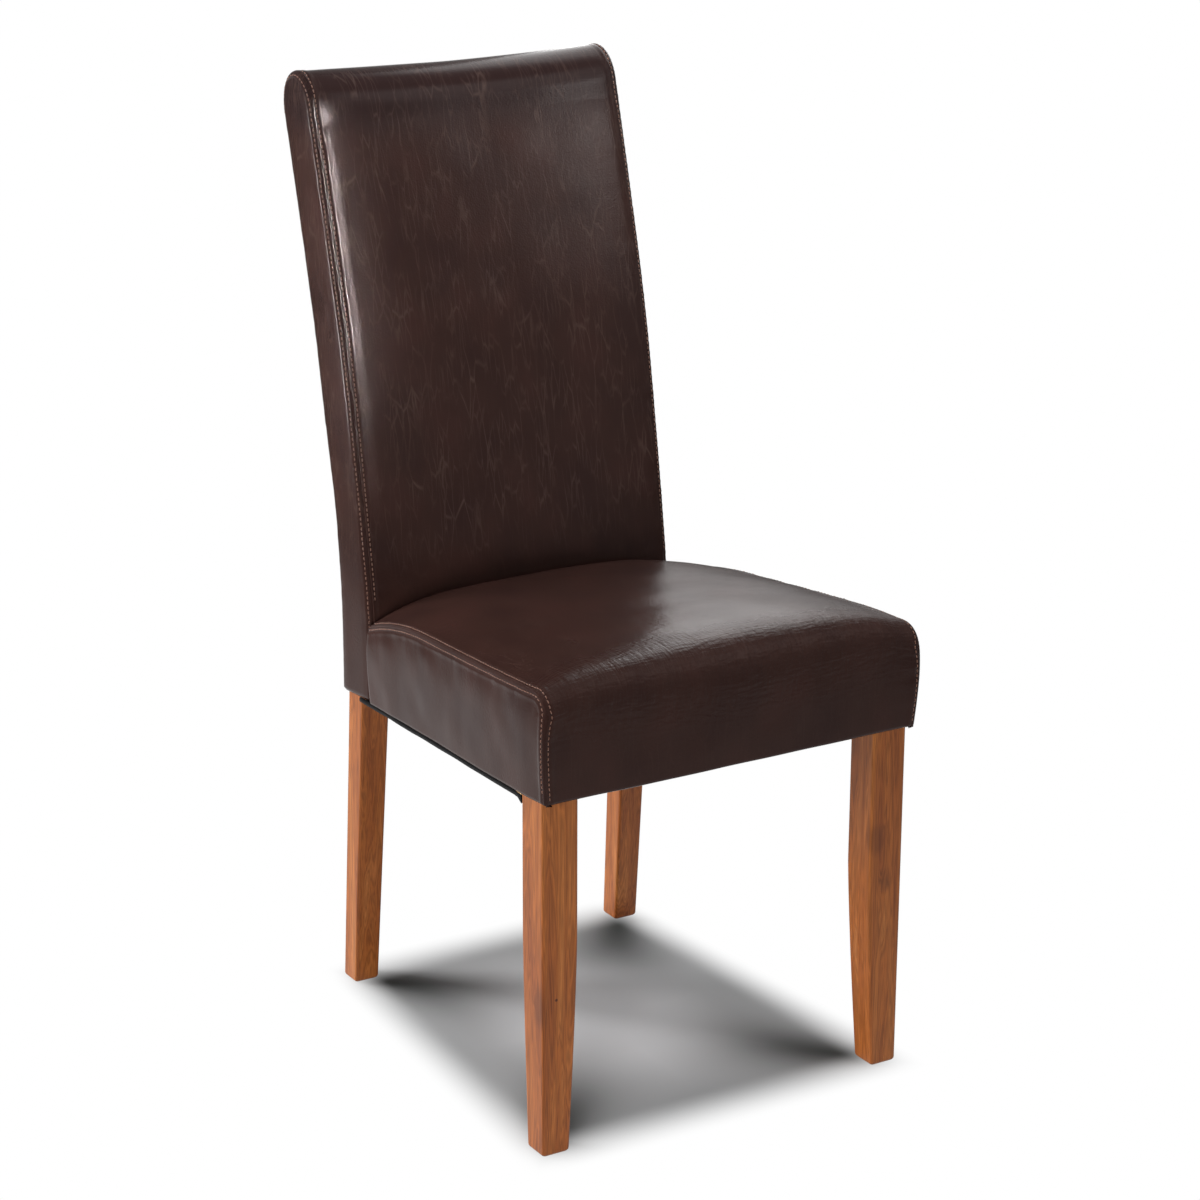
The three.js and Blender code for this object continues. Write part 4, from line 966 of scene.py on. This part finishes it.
def stitch_row(line, normals, seed):
    """A row of stitches along a line on the leather. Each stitch is a six-sided tube that lies in
    its groove and dips at both ends: its points are the stitch's place plus its length, its rise
    and its ring, each along its own direction."""
    run = run_length(line)
    at = np.arange(STITCH_PITCH, run[-1] - STITCH_PITCH, STITCH_PITCH)
    random = np.random.default_rng(seed)
    spot, normal = resample(line, at), np.stack([np.interp(at, run, n) for n in normals.T], axis=-1)
    along = resample(line, at + STITCH_LENGTH / 2) - resample(line, at - STITCH_LENGTH / 2)
    normal /= np.linalg.norm(normal, axis=1, keepdims=True)
    across = np.cross(normal, along)
    across /= np.linalg.norm(across, axis=1, keepdims=True)
    along = np.cross(across, normal) + random.normal(0, 0.05, (len(at), 1)) * across
    length = np.array([-0.5, -0.44, -0.28, 0, 0.28, 0.44, 0.5])
    thick = np.array([0.3, 0.75, 0.95, 1, 0.95, 0.75, 0.3]) * THREAD / 2
    rise = THREAD * (0.42 - 12.8 * length**4)
    angle = np.linspace(0, 2 * np.pi, 7)[:-1]
    wide, high = thick[:, None] * np.cos(angle), thick[:, None] * np.sin(angle) + rise[:, None]
    lengths = STITCH_LENGTH * length * (1 + random.normal(0, 0.03, (len(at), 1)))
    points = spot[:, None, None, :]
    for size, direction in ((lengths[:, :, None] + 0 * wide, along), (wide[None], across),
                            (high[None], normal)):
        points = points + size[..., None] * direction[:, None, None, :]
    start = (np.arange(len(at)) * wide.size)[:, None, None]
    first, last = np.arange(len(angle)), np.arange(wide.size)[-len(angle):]
    faces = list((start + tube_faces(*wide.shape)).reshape(-1, 4))
    faces += list((start + first[::-1])[:, 0]) + list((start + last)[:, 0])
    return points.reshape(-1, 3), faces


def stitches(name, rows):
    """Several rows of stitches as one piece."""
    points, faces, count = [], [], 0
    for seed, (line, normals) in enumerate(rows):
        spots, ends = stitch_row(line, normals, seed)
        faces += [face + count for face in ends]
        points.append(spots)
        count += len(spots)
    sit_on(mesh_piece(name, np.concatenate(points), faces, thread))


# The column of points that a panel's stitches follow, and the rows between which they run
STITCH_COLUMN = int(np.argmin(np.abs(SEAM_STEPS - STITCH_OFFSET)))
TOP_STITCHED = (18, -1)
FRONT_STITCHED = (14, -36)
LEFT_BOXING_STITCHED = (-250, -20)
RIGHT_BOXING_STITCHED = (20, 250)


def stitch_line(surface, column, first, last):
    """Some rows of a surface's column as a line, with the surface's normals along it."""
    return surface[first:last, column], grid_normals(surface)[first:last, column]


def side_stitch_line(side):
    """The line of stitches on the seat's side, beside its seam, facing sideways."""
    seam = side_seam_line()
    step = np.gradient(seam, axis=0)
    outward = np.stack([step[:, 1], -step[:, 0]], axis=-1) / np.linalg.norm(step, axis=1, keepdims=True)
    line = (seam - STITCH_OFFSET * outward)[8:-8:4]
    points = side_place(side, line[:, 0], line[:, 1], seam)
    return points, np.array([side, 0, 0]) + 0 * points


back_front = back_front_surface()
leather_panel("back_front_leather", back_front, "back_front_panel")
leather_panel("back_rear_leather", back_rear_surface(), "back_rear_panel")
seat_top = seat_top_surface()
leather_panel("seat_top_leather", seat_top, "seat_top_panel")
for side, word, column, stitched in ((-1, "left", STITCH_COLUMN, LEFT_BOXING_STITCHED),
                                     (1, "right", -1 - STITCH_COLUMN, RIGHT_BOXING_STITCHED)):
    boxing = boxing_surface(side)
    leather_panel(f"{word}_boxing_leather", boxing, f"{word}_back_boxing", (side, 0, 0))
    leather_panel(f"{word}_seat_side_leather", seat_side_surface(side), f"{word}_seat_side_panel")
    stitches(f"{word}_seat_stitches", [stitch_line(seat_top[0], -1 - column, *TOP_STITCHED),
                                       side_stitch_line(side)])
    stitches(f"{word}_back_stitches", [stitch_line(back_front[0], column, *FRONT_STITCHED),
                                       stitch_line(boxing[0], STITCH_COLUMN, *stitched)])


def filling_piece(name, node, material):
    """A filling's own piece: its CAD solid drawn in by a skin's thickness, remeshed in even cells
    and smoothed, so that its corners are soft."""
    piece = bpy.data.objects.new(name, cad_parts[node].data.copy())
    bpy.context.scene.collection.objects.link(piece)
    close_doubles(piece)
    mesh = piece.data
    points, normals = np.empty((2, len(mesh.vertices) * 3), np.float32)
    mesh.vertices.foreach_get("co", points)
    mesh.vertices.foreach_get("normal", normals)
    points = (points - normals * FOAM_INSET * MM).reshape(-1, 3)
    points[:, 2] -= MM * settling(points[:, 0] / MM, points[:, 1] / MM - FRONT_FACE)
    above_hem = (hem(points[:, 1] / MM - FRONT_FACE) + HEM_CLEARANCE) * MM
    points[:, 2] = np.maximum(points[:, 2], above_hem)
    mesh.vertices.foreach_set("co", points.ravel())
    mesh.materials.clear()
    mesh.materials.append(material)
    for kind, settings in (("REMESH", {"mode": "VOXEL", "voxel_size": FOAM_CELL * MM}),
                           ("SMOOTH", {"factor": 0.5, "iterations": 3})):
        modifier = piece.modifiers.new(kind.lower(), kind)
        for key, value in settings.items():
            setattr(modifier, key, value)
    sit_on(piece, node)


filling_piece("seat_foam_block", "seat_foam", foam)
filling_piece("back_foam_block", "back_foam", foam)
filling_piece("rear_wadding_layer", "back_rear_wadding", wadding)


def rounded_bar(name, node, sections, material):
    """An upright of eased rectangular section. Each ring of points goes round one section: four
    quarter circles and the flats between them, drawn in at the foot and at the top by a quarter
    circle too."""
    quarter = np.linspace(0, np.pi / 2, 6)
    flat = np.array([0.02, 0.3, 0.7, 0.98])
    r = WORN_EDGE
    rings = []
    for z, x0, x1, y0, y1, drawn in sections:
        x0, x1, y0, y1 = x0 + drawn, x1 - drawn, y0 + drawn, y1 - drawn
        arcs = []
        centres = (x1 - r, y1 - r), (x0 + r, y1 - r), (x0 + r, y0 + r), (x1 - r, y0 + r)
        for turn, (cx, cy) in enumerate(centres):
            angle = quarter + turn * np.pi / 2
            arcs.append(np.stack([cx + r * np.cos(angle), cy + r * np.sin(angle)], axis=-1))
        sides = []
        for arc, following in zip(arcs, arcs[1:] + arcs[:1]):
            sides += [arc, lerp(arc[-1], following[0], flat[:, None])]
        outline = np.concatenate(sides)
        rings.append(np.concatenate([outline, np.full((len(outline), 1), z)], axis=1))
    points = np.array(rings)
    rows, columns = points.shape[:2]
    faces = list(tube_faces(rows, columns))
    faces += [np.arange(columns)[::-1], np.arange(rows * columns)[-columns:]]
    sit_on(mesh_piece(name, points, faces, material), node)


def bar_heights(top):
    """Heights of an upright's rings and how far each is drawn in: eased at both ends."""
    angle = np.linspace(0, np.pi / 2, 6)
    ease = FOOT_EDGE * (1 - np.sin(angle))
    rise = FOOT_EDGE * (1 - np.cos(angle))
    middle = np.linspace(FOOT_EDGE, top - FOOT_EDGE, 60)[1:-1]
    z = np.concatenate([rise, middle, (top - rise)[::-1]])
    return z, np.concatenate([ease, 0 * middle, ease[::-1]])


def front_leg(side, word, material):
    """A front leg: square at the top, its two inner faces tapering to the foot along a curve."""
    z, drawn = bar_heights(leg_high[2])
    rest = 1 - np.clip(z / LEG_TAPER_HEIGHT, 0, 1)
    width = LEG_WIDTH - (LEG_WIDTH - LEG_FOOT_WIDTH) * rest**LEG_TAPER_POWER
    inner, outer = side * (LEG_SPREAD - width), side * LEG_SPREAD + 0 * z
    sections = zip(z, np.minimum(inner, outer), np.maximum(inner, outer), 0 * z, width, drawn)
    rounded_bar(f"{word}_front_leg_wood", f"{word}_front_leg", sections, material)


def rear_post(side, word, material):
    """A rear post: its foot splays back, and above the seat it leans back inside the cover."""
    z, drawn = bar_heights(post_high[2])
    rear = back_rear(z) - REAR_PADDING + SPLAY_SHARE * soft_ramp(HEM_HEIGHT - z, SPLAY_BLEND)
    front = rear - np.interp(z, *zip(*POST_DEPTHS))
    rise = np.clip(z / HEM_HEIGHT, 0, 1)
    outer = POST_SPREAD + POST_FOOT_SPLAY * (1 - rise)
    inner = outer - lerp(POST_FOOT_WIDTH, POST_WIDTH, rise)
    x0, x1 = np.sort([side * inner, side * outer], axis=0)
    sections = zip(z, x0, x1, front, rear, drawn)
    rounded_bar(f"{word}_rear_post_wood", f"{word}_rear_post", sections, material)


# Blemishes of the wood, with their places in metres: a pin knot and a soft patch on the left front
# leg, and two soft patches on the right one
LEG_FRONT = FRONT_FACE * MM
LEFT_BLEMISHES = (((-0.204, LEG_FRONT, 0.172), 2.2, 1, 0.9),
                  ((-0.2198, LEG_FRONT + 0.008, 0.165), 13, 2.4, 0.42))
RIGHT_BLEMISHES = (((0.186, LEG_FRONT, 0.262), 15, 1.5, 0.3),
                   ((0.1985, LEG_FRONT, 0.215), 11, 1.8, 0.34))
# The fifth value of each row makes that leg's stain lighter or darker: painted light, for how brightly
# that leg is lit.
for upright, side, word, seed, painted_lightness, blemishes in ((front_leg, -1, "left", 1, 1.2, LEFT_BLEMISHES),
                                                    (rear_post, -1, "left", 3, 1.14, ()),
                                                    (front_leg, 1, "right", 2, 1.16, RIGHT_BLEMISHES),
                                                    (rear_post, 1, "right", 4, 1.28, ())):
    upright(side, word, wood_material(f"stained_hardwood_{seed}", seed, painted_lightness, blemishes))


def dust_cover_sheet():
    """The dust cover: a sheet under the frame, ruled across, with its sides turned up against the
    cover's hem and notches round the legs. It sags a little in its middle, is pulled into faint
    folds towards its corners, and one corner hangs loose."""
    low, high = node_box("dust_cover")
    half, front, rear = high[0], low[1] - FRONT_FACE, high[1] - FRONT_FACE
    leg_inner, leg_rear = half - LEG_WIDTH - DUST_LEG_GAP, leg_high[1] - FRONT_FACE
    depth = np.concatenate([np.linspace(front, leg_rear, 6),
                            np.linspace(leg_rear, DUST_POST_FRONT, 52)[1:],
                            np.linspace(DUST_POST_FRONT, rear, 5)[1:]])
    wide = np.interp(depth, [leg_rear, DUST_POST_FRONT], [half, DUST_REAR_HALF])
    edge = np.array([1, 1, 1, 0.99, 0.95, 0.89, DUST_POST_INNER / DUST_REAR_HALF, leg_inner / half])
    share = np.concatenate([edge, np.linspace(edge[-1], 0, 20)[1:]])
    u = np.concatenate([share, -share[-2::-1]])[None, :]
    x, y = u * wide[:, None], depth[:, None] + 0 * u
    across, along = np.abs(u), np.clip((y - front) / (rear - front), 0, 1)
    middle = (1 - across**2) * np.sin(np.pi * along)
    turn = np.arctan2(x, y - (front + rear) / 2)
    folds = value_noise(turn * 5, 0 * x, 71) * across**2
    z = hem(y) - DUST_DROP - DUST_SAG * middle - 0.5 * folds - 0.4 * layered_noise(x / 40, y / 40, 73)
    z = z - 1.2 * across**4
    at_hem = seat_half(depth) - HEM_INSET
    # The turned-up sides: how far each of their columns lies inside the hem and above the sheet
    for column, (inside, up) in enumerate(((2.9, 5.4), (1.6, 3.2), (2.0, 0.2))):
        x[:, column], x[:, -1 - column] = at_hem - inside, inside - at_hem
        z[:, column] = z[:, 3] + up
        z[:, -1 - column] = z[:, -4] + up
    loose_corner = DUST_LOOSE * bell(x, -half, 5) * bell(y, leg_rear + 1, 5)
    z[:, :-2] -= loose_corner[:, :-2]
    points = np.stack([x, y, z], axis=-1)
    faces = grid_faces(*points.shape[:2])
    centre = points.reshape(-1, 3)[faces].mean(axis=1)
    at_leg = (np.abs(centre[:, 0]) > leg_inner) & (centre[:, 1] < leg_rear)
    at_post = (np.abs(centre[:, 0]) > DUST_POST_INNER) & (centre[:, 1] > DUST_POST_FRONT)
    piece = mesh_piece("dust_cover_cloth", points, faces[~(at_leg | at_post)], dust_cloth_hem_shade)
    wall = piece.modifiers.new("wall", "SOLIDIFY")
    wall.thickness = DUST_CLOTH * MM
    sit_on(piece, "dust_cover")
    loose = bmesh.new()
    loose.from_mesh(piece.data)
    bmesh.ops.delete(loose, geom=[v for v in loose.verts if not v.link_faces], context="VERTS")
    flat_area = sum(f.calc_area() for f in loose.faces)
    loose.to_mesh(piece.data)
    loose.free()


dust_cover_sheet()


finishes = {"_rail": raw_wood, "_block": raw_wood, "_bolt": zinc, "_washer": zinc, "_nut": zinc,
            "_screw": zinc, "_strap": webbing}
for name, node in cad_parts.items():
    for ending, material in finishes.items():
        if name.endswith(ending):
            node.data.materials.clear()
            node.data.materials.append(material)


def soft_lamp(name, position, target, size, power, spread=None):
    """A rectangular softbox at a position in metres, facing a target. A plain one only lights. One
    with a spread, in degrees, shows only in gloss, and its light fans out over the spread, as
    behind a grid."""
    lamp = bpy.data.lights.new(name, "AREA")
    lamp.shape, lamp.size, lamp.size_y = "RECTANGLE", size[0], size[1]
    lamp.energy = power
    holder = bpy.data.objects.new(name, lamp)
    holder.location = position
    toward = Vector(target) - Vector(position)
    holder.rotation_euler = toward.to_track_quat("-Z", "Y").to_euler()
    holder.visible_camera = False
    if spread is None:
        holder.visible_glossy = False
    else:
        holder.visible_diffuse = False
        lamp.spread = math.radians(spread)
    bpy.context.scene.collection.objects.link(holder)


def seen_directly(tree):
    """1 for rays from the camera, off gloss and through glass, and 0 for the rays of lighting."""
    seen = 0
    for ray in ("Is Camera Ray", "Is Glossy Ray", "Is Transmission Ray"):
        seen = combine(tree, "MAXIMUM", seen, add(tree, "LightPath", {}, ray))
    return seen


# The camera's place in metres, its turn, tilt and roll in degrees, and its lens on a 36 mm frame
CAMERA_PLACE = (-1.77046, -2.92886, 1.59919)
CAMERA_ANGLES = (31.496, 18.167, 0.24)
CAMERA_LENS = 100.909
CAMERA_FRAME = 36

SURROUND_LEVEL = 0.15
SURROUND_WHITE = (0.26, 0)  # height of a direction, from where the surround turns to where it is white
SURROUND_TOP = 0.18
FLOOR_HALF = 30  # metres
FAR_FLOOR = (1.2, 2.0)  # where the floor darkens in gloss, in metres
FAR_FLOOR_LEVEL = 0.12
# Where the floor keeps the chair's shadow, in metres: between the feet. A painted dark streak runs from
# each of them towards the middle, where it is wider and fades out. The shares are 1 at the feet.
FEET_MIDDLE = -0.041
FOOT_SPREAD = 0.188
FOOT_TAPER = -0.068
FOOT_DEPTH = 0.236
FLOOR_FADE = (1.22, 0.87)
STREAK_WIDTH = 0.2
STREAK_NARROWING = 1.1
STREAK_REACH = (0.08, 0.9)


def studio_world():
    """A plain surround like a studio cove: seen directly it is white up to a little above the
    horizon and grey above, and it lights at a low level."""
    world = bpy.data.worlds.new("plain_studio")
    world.use_nodes = True
    tree = world.node_tree
    tree.nodes.clear()
    coords = add(tree, "TexCoord", {}, "Generated")
    height = add(tree, "SeparateXYZ", {0: coords}, "Z")
    white = smooth_range(tree, height, *SURROUND_WHITE, SURROUND_TOP)
    share = combine(tree, "MULTIPLY", white, seen_directly(tree))
    strength = add(tree, "MapRange", {0: share, "To Min": SURROUND_LEVEL})
    ground = add(tree, "Background", {"Color": WHITE, "Strength": strength})
    add(tree, "OutputWorld", {"Surface": ground})
    bpy.context.scene.world = world


def studio_floor():
    """A plain white floor. Between the feet it keeps the chair's shadow, and painted shadow is laid over
    it:
    the paper is painted darker towards the feet, and a painted dark streak runs from each foot towards
    the middle. Further out it is the plain white of the surround. Far away it shows grey in the gloss of
    the leather, as the end of a lit floor does."""
    mesh = bpy.data.meshes.new("studio_floor")
    corners = [(x * FLOOR_HALF, y * FLOOR_HALF, 0) for x, y in ((-1, -1), (1, -1), (1, 1), (-1, 1))]
    mesh.from_pydata(corners, [], [(0, 1, 2, 3)])
    material = bpy.data.materials.new("studio_paper")
    material.use_nodes = True
    tree = material.node_tree
    tree.nodes.clear()
    coords = add(tree, "TexCoord", {}, "Object")
    centred = add(tree, "VectorMath", {0: coords, 1: (0, FEET_MIDDLE, 0)}, operation="SUBTRACT")
    depth = add(tree, "SeparateXYZ", {0: centred}, "Y")
    mirrored = add(tree, "VectorMath", {0: centred}, operation="ABSOLUTE")
    half_width = combine(tree, "MULTIPLY_ADD", depth, FOOT_TAPER, FOOT_SPREAD)
    x_share = combine(tree, "DIVIDE", add(tree, "SeparateXYZ", {0: mirrored}, "X"), half_width)
    y_share = combine(tree, "DIVIDE", add(tree, "SeparateXYZ", {0: mirrored}, "Y"), FOOT_DEPTH)
    # The shadow reaches a little beyond the feet, and the paper is painted darker towards them: painted
    # shade.
    x_near = smooth_range(tree, x_share, *FLOOR_FADE)
    y_near = smooth_range(tree, y_share, *FLOOR_FADE)
    between = combine(tree, "MULTIPLY", x_near, y_near)
    # A painted dark streak runs along the diagonal, where both shares are equal.
    toward_foot = combine(tree, "MULTIPLY", combine(tree, "ADD", x_share, y_share), 0.5)
    aside = combine(tree, "ABSOLUTE", combine(tree, "SUBTRACT", x_share, y_share))
    wide = STREAK_NARROWING + STREAK_WIDTH
    width = combine(tree, "MULTIPLY_ADD", toward_foot, -STREAK_NARROWING, wide)
    across = smooth_range(tree, combine(tree, "DIVIDE", aside, width), 1, 0)
    streak = combine(tree, "MULTIPLY", across, smooth_range(tree, toward_foot, *STREAK_REACH))
    # Painted shade: the paper's colour darkens from the middle towards the feet.
    edge = smooth_range(tree, combine(tree, "MAXIMUM", x_share, y_share), 0.35, 1)
    painted_shade_tone = ramp(tree, edge, [(0, linear("#efeff1")), (1, linear("#b2b3b4"))])
    # Painted shadow: the streak's dark grey is mixed into the paper's colour.
    paper = add(tree, "BsdfDiffuse", {"Color": mixed(tree, streak, painted_shade_tone, linear("#545655"))})
    # Only gloss sees the far floor grey: a camera ray always sees it white.
    away = add(tree, "VectorMath", {0: coords}, "Value", operation="LENGTH")
    level = smooth_range(tree, away, *FAR_FLOOR, 1, FAR_FLOOR_LEVEL)
    level = combine(tree, "MAXIMUM", level, add(tree, "LightPath", {}, "Is Camera Ray"))
    white = add(tree, "Emission", {"Color": WHITE, "Strength": level})
    shown = combine(tree, "MULTIPLY", combine(tree, "SUBTRACT", 1, between), seen_directly(tree))
    surface = add(tree, "MixShader", {0: shown, 1: paper, 2: white})
    add(tree, "OutputMaterial", {"Surface": surface})
    mesh.materials.append(material)
    floor = bpy.data.objects.new("studio_floor", mesh)
    bpy.context.scene.collection.objects.link(floor)


def studio_camera():
    """The camera at the photograph's place and angle."""
    camera = bpy.data.cameras.new("camera")
    camera.lens = CAMERA_LENS
    camera.sensor_width = CAMERA_FRAME
    holder = bpy.data.objects.new("camera", camera)
    holder.location = CAMERA_PLACE
    turn, down, roll = (math.radians(angle) for angle in CAMERA_ANGLES)
    upright = Euler((math.pi / 2 - down, 0, -turn), "XYZ").to_matrix()
    holder.rotation_euler = (upright @ Euler((0, 0, roll), "XYZ").to_matrix()).to_euler()
    bpy.context.scene.collection.objects.link(holder)
    bpy.context.scene.camera = holder


studio_world()
studio_floor()
studio_camera()

# The softboxes: name, place, target, width and height, and power. The last six show only in gloss,
# and their spread follows.
LOW_MIDDLE = (0, 0, 0.4)
SOFTBOXES = (
    ("overhead_softbox", (0, 0, 2.7), (0, 0, 0), (1.3, 1.3), 42),
    ("front_left_softbox", (-1.9, -2.2, 0.4), LOW_MIDDLE, (0.7, 0.6), 41),
    ("rear_left_softbox", (-2.1, 1.9, 0.8), LOW_MIDDLE, (1.0, 1.0), 108),
    ("front_right_softbox", (1.65, -2.35, 0.4), LOW_MIDDLE, (0.7, 0.6), 10),
    ("rear_right_softbox", (1.65, 2.35, 0.4), LOW_MIDDLE, (0.7, 0.6), 18),
    ("front_strip", (-0.2, -0.8, 1.13), (-0.2, 0.2, 0.86), (0.03, 0.5), 0.85, 18),
    ("left_strip", (-1.03, 0.89, 0.65), (-0.23, 0.2, 0.85), (0.04, 0.5), 0.28, 24),
    ("upper_sheen", (2.1, -2.1, 1.87), (0.12, 0.2, 0.88), (0.9, 0.55), 0.28, 17),
    ("high_front", (1.5, -1.7, 2.8), (0, 0, 0.75), (1.6, 1.4), 18, 180),
    ("seat_sheen", (0.8, 0.98, 1.0), (0.1, 0, 0.5), (0.45, 0.4), 1.8, 180),
    ("seat_glow", (0.6, 0.5, 1.3), (0, -0.2, 0.5), (0.7, 0.6), 3.6, 180))
for softbox in SOFTBOXES:
    soft_lamp(*softbox)

bpy.context.scene.view_settings.view_transform = "Standard"
